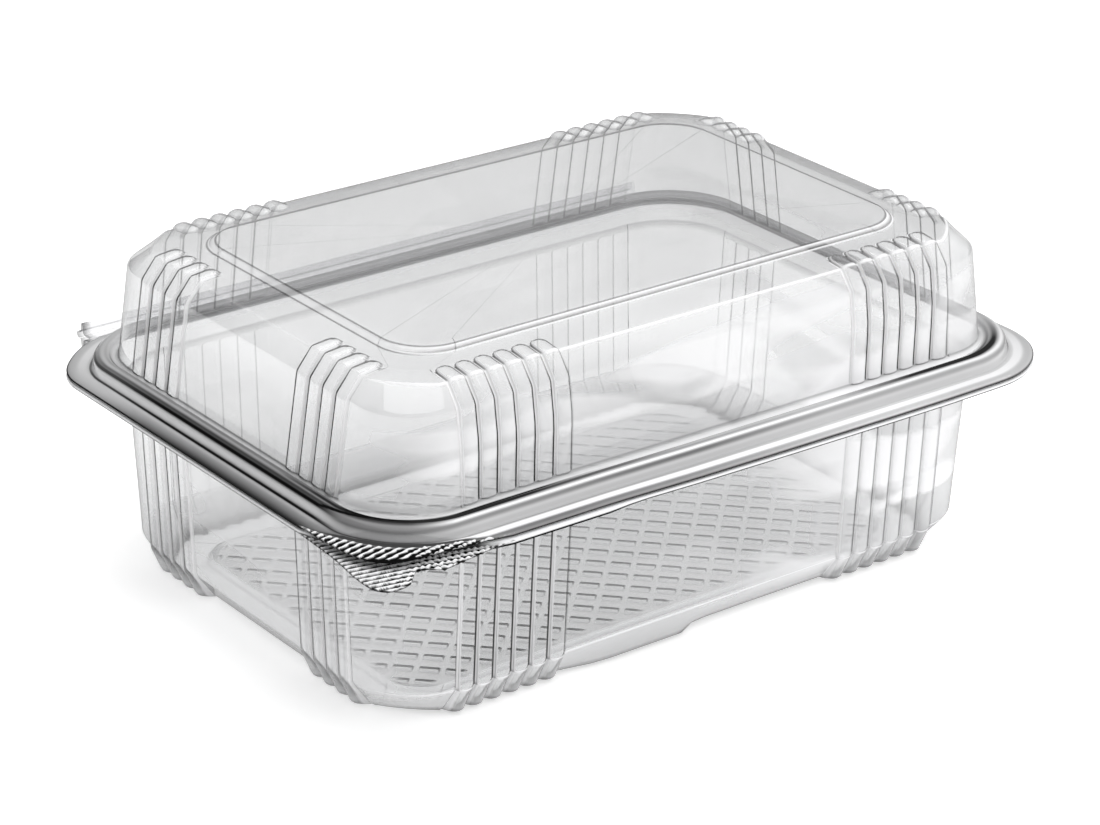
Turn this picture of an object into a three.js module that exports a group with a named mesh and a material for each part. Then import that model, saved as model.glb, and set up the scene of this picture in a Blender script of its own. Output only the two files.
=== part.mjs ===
// A clear hinged-lid container for cookies: a tray, a domed lid and the hinge between them.
// Millimetres, +Z up, standing on its floor. X runs along the long sides, the hinge is on
// the +Y side and the pull tab is at the corner between the -X and -Y sides.
import * as THREE from 'three';

// ---- driving sizes ----
const RIM_X = 100;           // half the rim's length
const RIM_Y = 71.8;          // half the rim's width
const RIM_R = 21;            // radius of the rim's corners
const RIM_Z = 47;            // underside of the tray's rim above the ground
const SHEET = 0.6;           // thickness of the formed sheet
const PLAY = 0.4;            // gap between the shut lid's rim and the tray's rim
const SKIRT = 1.7;           // height of the edge that turns down around the tray's rim

// Flutes: upright convex folds, in a group on either side of every corner.
const FLUTE_PITCH = 5.0;
const FLUTE_RISE = 1.1;
const FLUTE_SHOULDER = 0.24; // where a flute reaches its full rise, as a share of its pitch
const LONG_GROUP_FROM = 40.3;
const LONG_GROUP_COUNT = 6;
const SHORT_GROUP_FROM = 21.9;
const SHORT_GROUP_COUNT = 4;

// Tray heights above the ground, and how far each level lies inside the rim's edge.
const TRAY_FLOOR_IN = 19.8;
const TRAY_TOE = { inset: 18.6, z: 0.9 };
const TRAY_CHAMFER = { inset: 13.6, z: 7.6 };
const TRAY_MOUTH = { inset: 11.9, z: 46 };

// Lid levels, from the foot of its wall up to the raised top panel.
const LID_FOOT = { inset: 10.4, z: 53.2 };
const LID_CHAMFER_LOW = { inset: 13.6, z: 75.2 };
const LID_CHAMFER_HIGH = { inset: 17.3, z: 79.8 };
const LID_TONGUE_IN = 23.4;  // how far in the flutes reach over the lid's top
const LID_PANEL_FOOT = { inset: 27.4, z: 80.9 };
const LID_PANEL_TOP = { inset: 29.0, z: 82.3 };
const LID_CORNER_CUT = 10.6; // the corner cut across the lid's upper chamfer edge

// Hinge on the +Y side.
const HINGE_HALF_LENGTH = 84;
const HINGE_Y = 76.4;
const HINGE_FOLD_R = 0.9;

const ARC_STEPS = 8;

// ---- outlines ----
// An outline is a list of stations around a rounded rectangle, anticlockwise seen from
// above. Each station has its place x, y, z and its run s, which grows by 1 on each side
// with the corner that follows it, so that outlines with unlike counts can be joined.
const SIDES = [
  { along: [0, 1], out: [1, 0], groups: 'short' },
  { along: [-1, 0], out: [0, 1], groups: 'long' },
  { along: [0, -1], out: [-1, 0], groups: 'short' },
  { along: [1, 0], out: [0, -1], groups: 'long' },
];

function groupOf(side) {
  return side.groups === 'long'
    ? { from: LONG_GROUP_FROM, count: LONG_GROUP_COUNT }
    : { from: SHORT_GROUP_FROM, count: SHORT_GROUP_COUNT };
}

// Stations along one side: [distance from the side's middle, share of the flute's rise].
function sideStations(side, fluted) {
  const { from, count } = groupOf(side);
  const to = from + count * FLUTE_PITCH;
  if (!fluted) {
    return [[-to, 0], [-from, 0], [from, 0], [to, 0]];
  }
  const right = [[from, 0]];
  for (let k = 0; k < count; k += 1) {
    const start = from + k * FLUTE_PITCH;
    right.push([start + FLUTE_SHOULDER * FLUTE_PITCH, 1]);
    right.push([start + (1 - FLUTE_SHOULDER) * FLUTE_PITCH, 1]);
    right.push([start + FLUTE_PITCH, 0]);
  }
  const left = right.map(([u, rise]) => [-u, rise]).reverse();
  return [...left, ...right];
}

// Corner stations in the corner's own frame, from the end of one side to the start of the
// next: [share of the turn, distance along the first side, distance along the second].
function cornerStations(size, cut) {
  const stations = [];
  for (let k = 0; k <= ARC_STEPS; k += 1) {
    const t = k / ARC_STEPS;
    const round = [Math.sin(t * Math.PI / 2), 1 - Math.cos(t * Math.PI / 2)];
    const place = cut ? [t, t] : round;
    stations.push([t, place[0] * size, place[1] * size]);
  }
  return stations;
}

function outline({ inset, z, radius, cut = false, rise = [0, 0], fluted = false }) {
  const half = [RIM_X - inset, RIM_Y - inset];
  const points = [];
  SIDES.forEach((side, index) => {
    const reach = side.groups === 'long' ? half[1] : half[0];
    const straight = (side.groups === 'long' ? half[0] : half[1]) - radius;
    const place = (u, v) => [
      side.along[0] * u + side.out[0] * v,
      side.along[1] * u + side.out[1] * v,
    ];
    const stations = sideStations(side, fluted).filter(([u]) => Math.abs(u) < straight);
    stations.forEach(([u, share]) => {
      const [x, y] = place(u, reach + share * rise[0]);
      points.push({ x, y, z: z + share * rise[1], s: index + 0.25 + 0.25 * (u / straight) });
    });
    cornerStations(radius, cut).forEach(([t, along, inward]) => {
      const [x, y] = place(straight + along, reach - inward);
      points.push({ x, y, z, s: index + 0.5 + 0.5 * t });
    });
  });
  return points;
}

// ---- the pull tab: the rim's rounded corner filled out almost to a square one ----
const TAB_EDGE = [
  [-100, -42], [-101, -55], [-102.4, -68], [-102.2, -73.6], [-100, -76.2], [-96, -76.4],
  [-92.4, -73.4], [-89.5, -72.4], [-86.6, -73.4], [-83.5, -75], [-76, -74], [-68, -71.8],
];

function withTab(points) {
  const first = 2.25 + 0.25 * (42 / (RIM_Y - RIM_R));
  const last = 3.25 - 0.25 * (68 / (RIM_X - RIM_R));
  const kept = points.filter(({ s }) => s < first - 1e-6 || s > last + 1e-6);
  const tab = TAB_EDGE.map(([x, y], k) => ({
    x,
    y,
    z: points[0].z,
    s: first + (last - first) * (k / (TAB_EDGE.length - 1)),
  }));
  return [...kept, ...tab].sort((a, b) => a.s - b.s);
}

// ---- closed skins made by joining outlines ----
class Skin {
  constructor() {
    this.positions = [];
    this.indices = [];
  }

  ring(points) {
    const start = this.positions.length / 3;
    points.forEach(({ x, y, z }) => this.positions.push(x, y, z));
    return { start, points };
  }

  index(ring, k) {
    return ring.start + (k % ring.points.length);
  }

  // Joins two outlines by a band. Going up the outside it faces outwards. Outlines with
  // the same count are joined station by station, and others by their stations' runs.
  band(low, high) {
    const countLow = low.points.length;
    const countHigh = high.points.length;
    const run = ({ points }, k) => {
      const lap = k >= points.length ? SIDES.length : 0;
      return points[k % points.length].s + lap;
    };
    let a = 0;
    let b = 0;
    while (a < countLow || b < countHigh) {
      const stepLow = countLow === countHigh
        ? a <= b
        : b >= countHigh || (a < countLow && run(low, a + 1) <= run(high, b + 1));
      if (stepLow) {
        this.indices.push(this.index(low, a), this.index(low, a + 1), this.index(high, b));
        a += 1;
      } else {
        this.indices.push(this.index(low, a), this.index(high, b + 1), this.index(high, b));
        b += 1;
      }
    }
  }

  cap(ring, faceUp) {
    const centre = this.positions.length / 3;
    this.positions.push(0, 0, ring.points[0].z);
    ring.points.forEach((_, k) => {
      const pair = [this.index(ring, k), this.index(ring, k + 1)];
      this.indices.push(centre, ...(faceUp ? pair : pair.reverse()));
    });
  }

  geometry() {
    const geometry = new THREE.BufferGeometry();
    geometry.setAttribute('position', new THREE.Float32BufferAttribute(this.positions, 3));
    geometry.setIndex(this.indices);
    geometry.computeVertexNormals();
    return geometry;
  }
}

// A closed skin from a cap facing down, through every outline in turn, to a cap facing up.
function skinOf(outlines) {
  const skin = new Skin();
  const rings = outlines.map((points) => skin.ring(points));
  skin.cap(rings[0], false);
  for (let k = 0; k + 1 < rings.length; k += 1) {
    skin.band(rings[k], rings[k + 1]);
  }
  skin.cap(rings[rings.length - 1], true);
  return skin.geometry();
}

// ---- tray ----
// A rim outline stands at a height over the underside of the tray's rim.
function rimOutline(inset, height, radius) {
  return outline({ inset, z: RIM_Z + height, radius });
}

// The inside of the sheet: the same outline moved in and down by about its thickness.
function inside({ inset, z, radius, ...rest }, inward, down) {
  return outline({ inset: inset + inward, z: z - down, radius: radius - inward, ...rest });
}

// From the middle of the underside, out over the floor, up the outside, around the rim and
// down the inside to the middle of the floor again.
function trayGeometry() {
  const floor = { inset: TRAY_FLOOR_IN, z: 0, radius: 9.8, cut: true };
  const toe = {
    ...TRAY_TOE,
    radius: 10.8,
    cut: true,
    fluted: true,
    rise: [0.8 * FLUTE_RISE, 0],
  };
  const chamfer = { ...TRAY_CHAMFER, radius: 16, fluted: true, rise: [FLUTE_RISE, -0.3] };
  const mouth = { ...TRAY_MOUTH, radius: 17.6, fluted: true, rise: [0.6 * FLUTE_RISE, 0] };
  return skinOf([
    outline(floor),
    outline(toe),
    outline(chamfer),
    outline(mouth),
    rimOutline(9.3, 3.9, 18.5),
    rimOutline(8.3, 5.0, 19),
    rimOutline(6.7, 5.0, 20),
    rimOutline(5.6, 1.3, 20.5),
    rimOutline(0.7, 1.1, 20.8),
    rimOutline(0.6, 0, 20.8),
    withTab(rimOutline(0, 0, RIM_R)),
    withTab(rimOutline(0, SKIRT, RIM_R)),
    rimOutline(5.0, SKIRT + 0.2, 20.5),
    rimOutline(6.1, 5.2, 20),
    rimOutline(6.6, 5.6, 20),
    rimOutline(8.1, 5.6, 19),
    rimOutline(8.9, 4.5, 18.5),
    rimOutline(11.6, 0.9, 18),
    inside(mouth, SHEET, SHEET),
    inside(chamfer, SHEET, -0.2),
    inside(toe, 0.4, -0.4),
    inside(floor, 0.2, -SHEET),
  ]);
}

// ---- lid ----
// From the middle of the top panel's underside, out and down the inside, around the lip
// and up the outside to the middle of the top panel.
function lidGeometry() {
  const lip = SKIRT + PLAY;
  const foot = { ...LID_FOOT, radius: 18.9, fluted: true, rise: [0.7 * FLUTE_RISE, 0] };
  const low = { ...LID_CHAMFER_LOW, radius: 13.4, fluted: true, rise: [FLUTE_RISE, 0.3] };
  const high = {
    ...LID_CHAMFER_HIGH,
    radius: LID_CORNER_CUT,
    cut: true,
    fluted: true,
    rise: [0.5 * FLUTE_RISE, 0.9 * FLUTE_RISE],
  };
  const tongue = {
    inset: LID_TONGUE_IN - 1.5,
    z: LID_CHAMFER_HIGH.z + 0.5,
    radius: 7.4,
    cut: true,
    fluted: true,
    rise: [0, 0.8 * FLUTE_RISE],
  };
  const tongueEnd = {
    inset: LID_TONGUE_IN,
    z: LID_CHAMFER_HIGH.z + 0.65,
    radius: 6.2,
    cut: true,
  };
  const panelFoot = { ...LID_PANEL_FOOT, radius: 12 };
  const panelTop = { ...LID_PANEL_TOP, radius: 11 };
  return skinOf([
    inside(panelTop, 0.2, SHEET),
    inside(panelFoot, 0.3, SHEET),
    inside(tongueEnd, 0.1, SHEET),
    inside(tongue, 0.1, SHEET),
    inside(high, 0.3, SHEET),
    inside(low, SHEET, 0.3),
    inside(foot, SHEET, SHEET),
    rimOutline(9.4, 5.2, 18.5),
    rimOutline(8.5, 6.0, 19),
    rimOutline(6.4, 6.0, 20),
    rimOutline(5.8, 5.6, 20),
    rimOutline(4.8, lip + 0.3, 20.5),
    withTab(rimOutline(0, lip, RIM_R)),
    withTab(rimOutline(0, lip + SHEET, RIM_R)),
    rimOutline(4.4, lip + SHEET + 0.3, 20.5),
    rimOutline(5.2, 5.9, 20),
    rimOutline(6.2, 6.6, 20),
    rimOutline(8.3, 6.6, 19),
    rimOutline(9.0, 5.9, 18.5),
    outline(foot),
    outline(low),
    outline(high),
    outline(tongue),
    outline(tongueEnd),
    outline(panelFoot),
    outline(panelTop),
  ]);
}

// ---- hinge ----
// Each leaf is an L-shaped strip: an arm beside the rim and a plate that stands away from
// the other leaf. The fold between the leaves is what the lid turns about.
function leafGeometry(armFrom, armTo, plateTo) {
  const armNear = RIM_Y + PLAY;
  const plateNear = HINGE_Y - HINGE_FOLD_R - 0.3 - 1.0;
  const plateFar = HINGE_Y - HINGE_FOLD_R - 0.3;
  const profile = new THREE.Shape([
    new THREE.Vector2(armNear, armFrom),
    new THREE.Vector2(plateFar, armFrom),
    new THREE.Vector2(plateFar, plateTo),
    new THREE.Vector2(plateNear, plateTo),
    new THREE.Vector2(plateNear, armTo),
    new THREE.Vector2(armNear, armTo),
  ]);
  const geometry = new THREE.ExtrudeGeometry(profile, {
    depth: 2 * HINGE_HALF_LENGTH,
    bevelEnabled: false,
  });
  // The profile is drawn in Y and Z and pushed along X.
  geometry.applyMatrix4(new THREE.Matrix4().set(
    0, 0, 1, -HINGE_HALF_LENGTH,
    1, 0, 0, 0,
    0, 1, 0, 0,
    0, 0, 0, 1,
  ));
  return geometry;
}

function foldGeometry() {
  const geometry = new THREE.CylinderGeometry(HINGE_FOLD_R, HINGE_FOLD_R, 2 * HINGE_HALF_LENGTH, 16);
  geometry.rotateZ(Math.PI / 2);
  return geometry;
}

// ---- the group ----
const clearPlastic = () => new THREE.MeshStandardMaterial({
  color: 0xe4e7e8,
  roughness: 0.08,
  metalness: 0,
  transparent: true,
  opacity: 0.35,
  side: THREE.DoubleSide,
});

function piece(name, geometry, position = [0, 0, 0]) {
  const mesh = new THREE.Mesh(geometry, clearPlastic());
  mesh.name = name;
  mesh.position.set(...position);
  return mesh;
}

const trayLeafTop = RIM_Z + SKIRT;
const lidLeafBottom = RIM_Z + SKIRT + PLAY;

const container = new THREE.Group();
container.add(
  piece('tray', trayGeometry()),
  piece('lid', lidGeometry()),
  piece('hinge_tray_leaf', leafGeometry(trayLeafTop, trayLeafTop - 0.8, RIM_Z - 2.6)),
  piece('hinge_lid_leaf', leafGeometry(lidLeafBottom, lidLeafBottom + 0.6, RIM_Z + 5.0)),
  piece('hinge_fold', foldGeometry(), [0, HINGE_Y, RIM_Z + SKIRT + PLAY / 2]),
);

export default container;
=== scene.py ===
# %% [markdown]
# # A clear cookie container with a hinged lid
# The real object is formed from one thin clear sheet: a deep tray, a domed lid and a
# folded strip at the back that joins them. What you see of such an object is mostly its
# bends. Flat parts of the sheet let nearly everything through, while a bend shows a dark
# line with a bright line beside it. So this lesson spends its faces on bends, and its
# material on painting that shade and highlight onto them.

import math

import bpy
import numpy as np
from mathutils import Matrix, Vector


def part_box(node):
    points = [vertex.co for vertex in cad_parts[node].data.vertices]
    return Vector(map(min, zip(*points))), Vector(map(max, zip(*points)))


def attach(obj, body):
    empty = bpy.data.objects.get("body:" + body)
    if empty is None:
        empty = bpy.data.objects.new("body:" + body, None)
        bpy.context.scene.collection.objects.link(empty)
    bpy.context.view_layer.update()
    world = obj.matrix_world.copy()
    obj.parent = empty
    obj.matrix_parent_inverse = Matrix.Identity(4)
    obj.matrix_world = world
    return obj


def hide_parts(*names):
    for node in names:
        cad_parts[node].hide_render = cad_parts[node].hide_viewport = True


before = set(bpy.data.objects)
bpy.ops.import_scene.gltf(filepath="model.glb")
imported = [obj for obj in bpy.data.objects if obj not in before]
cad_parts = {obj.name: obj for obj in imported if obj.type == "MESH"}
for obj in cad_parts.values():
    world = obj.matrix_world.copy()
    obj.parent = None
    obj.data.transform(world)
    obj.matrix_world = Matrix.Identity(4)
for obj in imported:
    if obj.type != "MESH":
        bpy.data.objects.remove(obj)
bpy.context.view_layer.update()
MM = 0.001

# %% [markdown]
# ## The camera
# The camera comes first, because every later choice of detail depends on how large a
# bend is in the picture. It stands in front of the corner with the pull tab and looks
# down a little, with a long lens, so the sides hardly converge. A camera could be aimed
# with a constraint. A plain matrix from its forward and up directions is used, because
# it also holds the small roll.

# %% Camera from its place and two directions
CAMERA_PLACE = Vector((-0.46638, -0.60284, 0.37639))
CAMERA_FORWARD = Vector((0.55790903, 0.72195491, -0.40929038))
CAMERA_UP = Vector((0.23749886, 0.33365948, 0.91228594))
FOCAL_SHARE = 3.19100  # focal length over the picture's width


def make_camera():
    """The camera, from its place, its two directions and its focal length."""
    data = bpy.data.cameras.new("camera")
    data.sensor_width = 36.0
    data.lens = FOCAL_SHARE * data.sensor_width
    data.clip_start, data.clip_end = 0.01, 20.0
    camera = bpy.data.objects.new("camera", data)
    back = -CAMERA_FORWARD.normalized()
    right = CAMERA_UP.cross(back).normalized()
    up = back.cross(right)
    turn = Matrix((right, up, back)).transposed().to_4x4()
    camera.matrix_world = Matrix.Translation(CAMERA_PLACE) @ turn
    bpy.context.scene.collection.objects.link(camera)
    bpy.context.scene.camera = camera
    return camera


camera = make_camera()
print("lens in mm", round(camera.data.lens, 1))

# %% [markdown]
# ## Sizes
# The rim is a rounded rectangle, and every other line of the container runs parallel to
# it at some inset and height. The rim's half sizes are read from the frame, so that the
# shells sit exactly where the frame's solids are. The upright folds, the flutes, stand in
# a group on either side of every corner.

# %% Named sizes, in millimetres
_, tray_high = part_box("tray")
_, lid_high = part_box("lid")
RIM_X = tray_high.x / MM
RIM_Y = tray_high.y / MM
LID_TOP = lid_high.z / MM
RIM_Z = 47.0           # the tray's rim
LIP = 49.1             # the lid's lip

PITCH = 5.0            # from one flute to the next
FLUTE_WIDTH = 0.86     # a flute's width as a share of the pitch
RISE = 1.15            # how far a flute stands out
LONG_FROM, LONG_COUNT = 40.3, 6
SHORT_FROM, SHORT_COUNT = 21.9, 4
print("rim half sizes", round(RIM_X, 2), round(RIM_Y, 2), "lid top", round(LID_TOP, 2))

# %% [markdown]
# ## Stations around the container
# A shell could be sculpted, or cut from a box with bevels. Both lose the exact parallel
# lines. Here a shell is a grid instead: stations run around the container, and levels
# run from the rim inwards. A station knows its side, how far along the side or the
# corner it lies, and how far it is from the crest of its flute.

# %% Stations, shared by every level
CREST_STEPS = (0.0, 0.35, 0.6, 0.78, 0.9, 0.97, 1.0)
MIDDLE_STEPS = 16
GAP_STEPS = 3
CORNER_STEPS, PLAIN_CORNER_STEPS = 18, 30
PLAIN_STEPS = 28
NO_FLUTE = 9.0
EASE = 0.35             # a plain station this far from a group keeps its lines narrow
SIDE_ALONG = np.array([(0, 1), (-1, 0), (0, -1), (1, 0)], float)
SIDE_OUT = np.array([(1, 0), (0, 1), (-1, 0), (0, -1)], float)
RIGHT, BACK, LEFT, FRONT = range(4)
ALONG, GAP, CORNER = range(3)


def group_of(side):
    """Where a side's groups of flutes start, and how many flutes they have."""
    return (LONG_FROM, LONG_COUNT) if side % 2 else (SHORT_FROM, SHORT_COUNT)


def group_limits(side):
    """The start and end of the group on every station's side, as two arrays."""
    is_long = side % 2 == 1
    start = np.where(is_long, LONG_FROM, SHORT_FROM)
    end = np.where(is_long, LONG_FROM + PITCH * LONG_COUNT, SHORT_FROM + PITCH * SHORT_COUNT)
    return start, end


def split_stations(stations):
    """The side, kind, place and crest distance of every station."""
    side, kind, place, crest = stations.T
    return side.astype(int), kind, place, crest


def group_stations(start, count):
    """Places along a side and crest distances, below 0 before the crest, for one group."""
    half = FLUTE_WIDTH / 2
    right = [(0.5 + half * c, c) for c in CREST_STEPS]
    left = [(0.5 - half * c, -c) for c in reversed(CREST_STEPS[1:])]
    one = left + right + [(1.0, 1.0 / FLUTE_WIDTH)]
    found = [(start, -1.0 / FLUTE_WIDTH)]
    for k in range(count):
        found += [(start + PITCH * (k + x), c) for x, c in one]
    return found


def side_stations(side, fluted):
    """The straight part of one side, from its left end to its right end."""
    start, count = group_of(side)
    end = start + PITCH * count
    if not fluted:
        return [(side, ALONG, u, NO_FLUTE) for u in np.linspace(-end, end, PLAIN_STEPS)]
    right = [(start - EASE, NO_FLUTE)] + group_stations(start, count)
    right += [(end + EASE, NO_FLUTE)]
    left = [(-u, -c if abs(c) < 2 else c) for u, c in reversed(right)]
    middle = np.linspace(EASE - start, start - EASE, MIDDLE_STEPS + 1)[1:-1]
    rows = [(side, ALONG, u, c) for u, c in left]
    rows += [(side, ALONG, u, NO_FLUTE) for u in middle]
    return rows + [(side, ALONG, u, c) for u, c in right]


def make_stations(fluted=True, corner_steps=CORNER_STEPS):
    """All stations round the container, one row each."""
    rows = []
    for side in range(4):
        rows += [(side, GAP, -(1 - k / GAP_STEPS), NO_FLUTE) for k in range(1, GAP_STEPS)]
        rows += side_stations(side, fluted)
        rows += [(side, GAP, k / GAP_STEPS, NO_FLUTE) for k in range(1, GAP_STEPS)]
        rows += [(side, CORNER, k / corner_steps, NO_FLUTE) for k in range(corner_steps + 1)]
    return np.array(rows, float)


FLUTED = make_stations()
PLAIN = make_stations(fluted=False, corner_steps=PLAIN_CORNER_STEPS)
print("stations with flutes:", len(FLUTED), "without:", len(PLAIN))

# %% [markdown]
# ## Levels and rounded bends
# A level is a row of numbers: its inset from the rim, its height, its corner radius, how
# straight its corners are cut, how far the flutes stand out and up there, how far past
# the flute's end it is, and the length of its rounding. A sharp bend is where two levels
# meet. The real bends are small curves, so every bend is replaced by a short curve, which
# carries all of the row along, with the length run so far.

# %% From a few levels to a smooth profile
INSET, HEIGHT, RADIUS, CUT, OUT, UP, END, ROUND, RUN = range(9)


def with_run(levels):
    """The levels with the length along the profile as a last column."""
    rows = np.array(levels, float)
    steps = np.linalg.norm(np.diff(rows[:, :2], axis=0), axis=1)
    return np.column_stack([rows, np.concatenate([[0], np.cumsum(steps)])])


def smooth_profile(levels, stops=(), steps=4, long_step=6.0):
    """Rows of a profile, curved at its bends, with a row at each stop of its run."""
    rows = with_run(levels)
    made = [rows[0]]
    for before, here, after in zip(rows, rows[1:], rows[2:]):
        size = here[ROUND]
        if size == 0:
            made.append(here)
            continue
        to_before = here[RUN] - before[RUN]
        to_after = after[RUN] - here[RUN]
        first = here + (before - here) * min(size, 0.48 * to_before) / to_before
        last = here + (after - here) * min(size, 0.48 * to_after) / to_after
        for t in np.linspace(0, 1, steps + 1):
            made.append((1 - t) ** 2 * first + 2 * t * (1 - t) * here + t * t * last)
    made.append(rows[-1])
    made = np.array(made)
    runs = made[:, RUN]
    wanted = [r for r in stops if np.min(np.abs(runs - r)) > 0.06]
    for a, b in zip(runs, runs[1:]):
        parts = int(round((b - a) / long_step))
        wanted += [a + (b - a) * j / parts for j in range(1, parts)]
    runs = np.sort(np.concatenate([runs, wanted]))
    columns = [np.interp(runs, made[:, RUN], made[:, k]) for k in range(made.shape[1])]
    return np.column_stack(columns)


def flute_height(distance):
    """Height of a flute from 0 to 1, for a distance from its crest of 0 to 1."""
    inside = np.clip(1.0 - np.clip(distance, 0, 1) ** 2.4, 0, 1)
    return inside ** 0.62


print("a flute's height at its crest, flank and foot",
      [round(float(flute_height(np.array(d))), 2) for d in (0, 0.8, 1)])

# %% [markdown]
# ## Painted light along a profile
# The same bend looks different on each side of a clear box, since one side mirrors the
# dark part of the room and another the bright part. Painting that by hand on a texture
# would be slow. Here a second small table paints that light and shade onto the sheet. At
# a few places along the profile it says how much painted shade the sheet gets on the lit
# sides and on the shaded side, how strong its painted glint is, how solid it looks, and
# how strong the painted lines of the flutes are. On the lid's rim the last two columns
# say how much painted shade it gets at the corner with the tabs, and along the groove.
#
# A reflection also comes and goes along a side. A third kind of table gives factors for
# that, at equal steps from the start of a side to its end. They were tuned over many
# rounds for one view, the one onto the corner with the tabs. They belong to the sheet, so
# they don't slide when the camera moves. But from another side, or in other light, they
# are only a likely picture of what a real box would mirror there.

# %% Tables for the sides
LIT, SHADED, GLINT, SHADED_GLINT, BODY, LINES, GROOVE = range(2, 9)
VALUE_NAMES = ("dark", "fold", "glint", "body", "painted_reflection")
# how far each side takes the shaded side's painted shade, and how strong its painted flute lines
# and glints are
SIDE_SHADE = {RIGHT: 0.1, BACK: 0.2, LEFT: 1.0, FRONT: 0.0}
SIDE_LINES = {RIGHT: 0.48, BACK: 0.42, LEFT: 1.0, FRONT: 1.0}
SIDE_GLINT = {RIGHT: 0.1, BACK: 0.0, LEFT: 0.8, FRONT: 1.0}
# painted shade and glint at equal steps from the start of a side to its end
BEAD_DARK = {RIGHT: (0.7, 0.3), BACK: (0.15, 0.2, 0.9), LEFT: (0.95, 1.0, 1.0, 1.0, 1.0),
             FRONT: (0.8, 0.85, 1.0, 1.05, 0.8, 0.55, 0.55, 0.6)}
FLANGE_DARK = {RIGHT: (0.3, 0.4), BACK: (0.3, 0.3, 0.6), LEFT: (0.65, 0.9, 1.0, 1.0, 1.0),
               FRONT: (1.2, 1.25, 1.1, 0.95, 0.6, 0.2, 0.05, 0.3)}
GROOVE_DARK = {RIGHT: (0.0, 0.0), BACK: (0.0, 0.0), LEFT: (0, 0, 0, 0, 0, 0.2, 0.8, 1.0),
               FRONT: (1.6, 0.9, 0.78, 0.2, 0.05, 0.2, 0.85, 1.8)}
RIM_GLINT = {RIGHT: (0.2, 0.2), BACK: (0.3, 0.3), LEFT: (1.0, 1.0),
             FRONT: (1.0, 1.0, 1.0, 1.0, 1.0, 1.0, 1.0, 0.7)}
# above 1 the mid greys of a rim grow lighter, and black stays black
DARK_POWER = {RIGHT: (1.0, 1.0), BACK: (1.0, 1.0, 2.0), LEFT: (2.0, 1.3, 1.0, 1.0, 1.0),
              FRONT: (1.0, 1.0)}
# the painted lines of the flutes below the rim
LOW_LINES = {RIGHT: (0.8, 0.6), BACK: (0.5, 0.4), LEFT: (1.0, 1.0),
             FRONT: (1.0, 1.0, 1.0, 1.0, 0.8, 0.7, 0.65, 0.55)}
# how strong the painted reflections on the walls are, by height
PAINTED_REFLECTION_HEIGHTS = ((4.0, 9.0, 46.0, 52.0, 58.0, 65.0, 74.0, 77.0, 79.0, 80.5),
                (0.2, 1.0, 1.0, 1.8, 1.6, 1.0, 0.8, 0.4, 0.1, 0.0))
print("shade of the sides:", SIDE_SHADE)

# %% Values for every station
TAB_CORNER = ((0.0, 0.12, 0.62, 0.95), (0.5, 1.0, 1.0, 0.0))    # by place round the corner


def station_shade(stations):
    """How far each station is on the shaded side, from 0 to 1."""
    side, kind, place, _ = split_stations(stations)
    here = np.array([SIDE_SHADE[s] for s in side])
    after = np.array([SIDE_SHADE[(s + 1) % 4] for s in side])
    turn = np.where(kind == CORNER, place, 0.0)
    turn = turn * turn * (3 - 2 * turn)
    return here * (1 - turn) + after * turn


def along_side(stations, table):
    """A value that changes along each side, and runs on to the next over a corner."""
    side, kind, place, _ = split_stations(stations)
    _, half = group_limits(side)
    share = np.where(kind == ALONG, 0.5 + 0.5 * place / half, np.where(place < 0, 0.0, 1.0))
    found = np.zeros(len(stations))
    for k in range(4):
        here, after = table[k], table[(k + 1) % 4]
        own = np.interp(share, np.linspace(0, 1, len(here)), here)
        turned = here[-1] + (after[0] - here[-1]) * place
        found = np.where(side == k, np.where(kind == CORNER, turned, own), found)
    return found


def tab_corner(stations):
    """How much each station belongs to the corner with the tabs, from 0 to 1."""
    side, kind, place, _ = split_stations(stations)
    corner = np.interp(place, *TAB_CORNER) * (kind == CORNER)
    before = 0.5 * np.clip(place, 0, 1) * (kind == GAP)
    return (corner + before) * (side == LEFT)


def painted_light_runs(paint_table, levels):
    """Where along the profile each row of a table of painted light lies."""
    rows = with_run(levels)
    return np.array([rows[int(f[0]), RUN] + f[1] for f in paint_table])


print("stations at the corner with the tabs:", int((tab_corner(FLUTED) > 0).sum()))

# %% [markdown]
# ## The points of a ring
# A ring is one level at every station. Its points follow the sides and the corners, and
# the flutes push them out and up. A corner can be round, cut straight, or a mixture of
# the two. Where a level's side is too short for its groups of flutes, they are squeezed.

# %% Points of one ring
GROUP_MARGIN = 0.3      # plain length kept between a group and the corner


def crest_distance(crest, end):
    """Distance from a flute's crest, which also counts the way past the flute's end."""
    return np.sqrt(crest ** 2 + end ** 2)


def ring_points(level, stations):
    """Points of one level at every station, in mm."""
    inset, height, radius, cut, out, up, end = level[:ROUND]
    side, kind, place, crest = split_stations(stations)
    is_long = side % 2 == 1
    half = np.where(is_long, RIM_X - inset, RIM_Y - inset)
    reach = np.where(is_long, RIM_Y - inset, RIM_X - inset)
    straight = half - radius
    _, group_end = group_limits(side)
    squeeze = np.minimum(1.0, straight / (group_end + GROUP_MARGIN))
    group_end = group_end * squeeze
    gap = np.sign(place) * (group_end + np.abs(place) * (straight - group_end))
    turn = place * math.pi / 2
    corner = straight + radius * ((1 - cut) * np.sin(turn) + cut * place)
    inward = radius * ((1 - cut) * (1 - np.cos(turn)) + cut * place)
    u = np.where(kind == ALONG, place * squeeze, np.where(kind == GAP, gap, corner))
    share = flute_height(crest_distance(crest, end))
    v = reach - np.where(kind == CORNER, inward, 0.0) + out * share
    xy = SIDE_ALONG[side] * u[:, None] + SIDE_OUT[side] * v[:, None]
    return np.column_stack([xy, height + up * share])


print("points in a fluted ring:", len(FLUTED))
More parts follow.
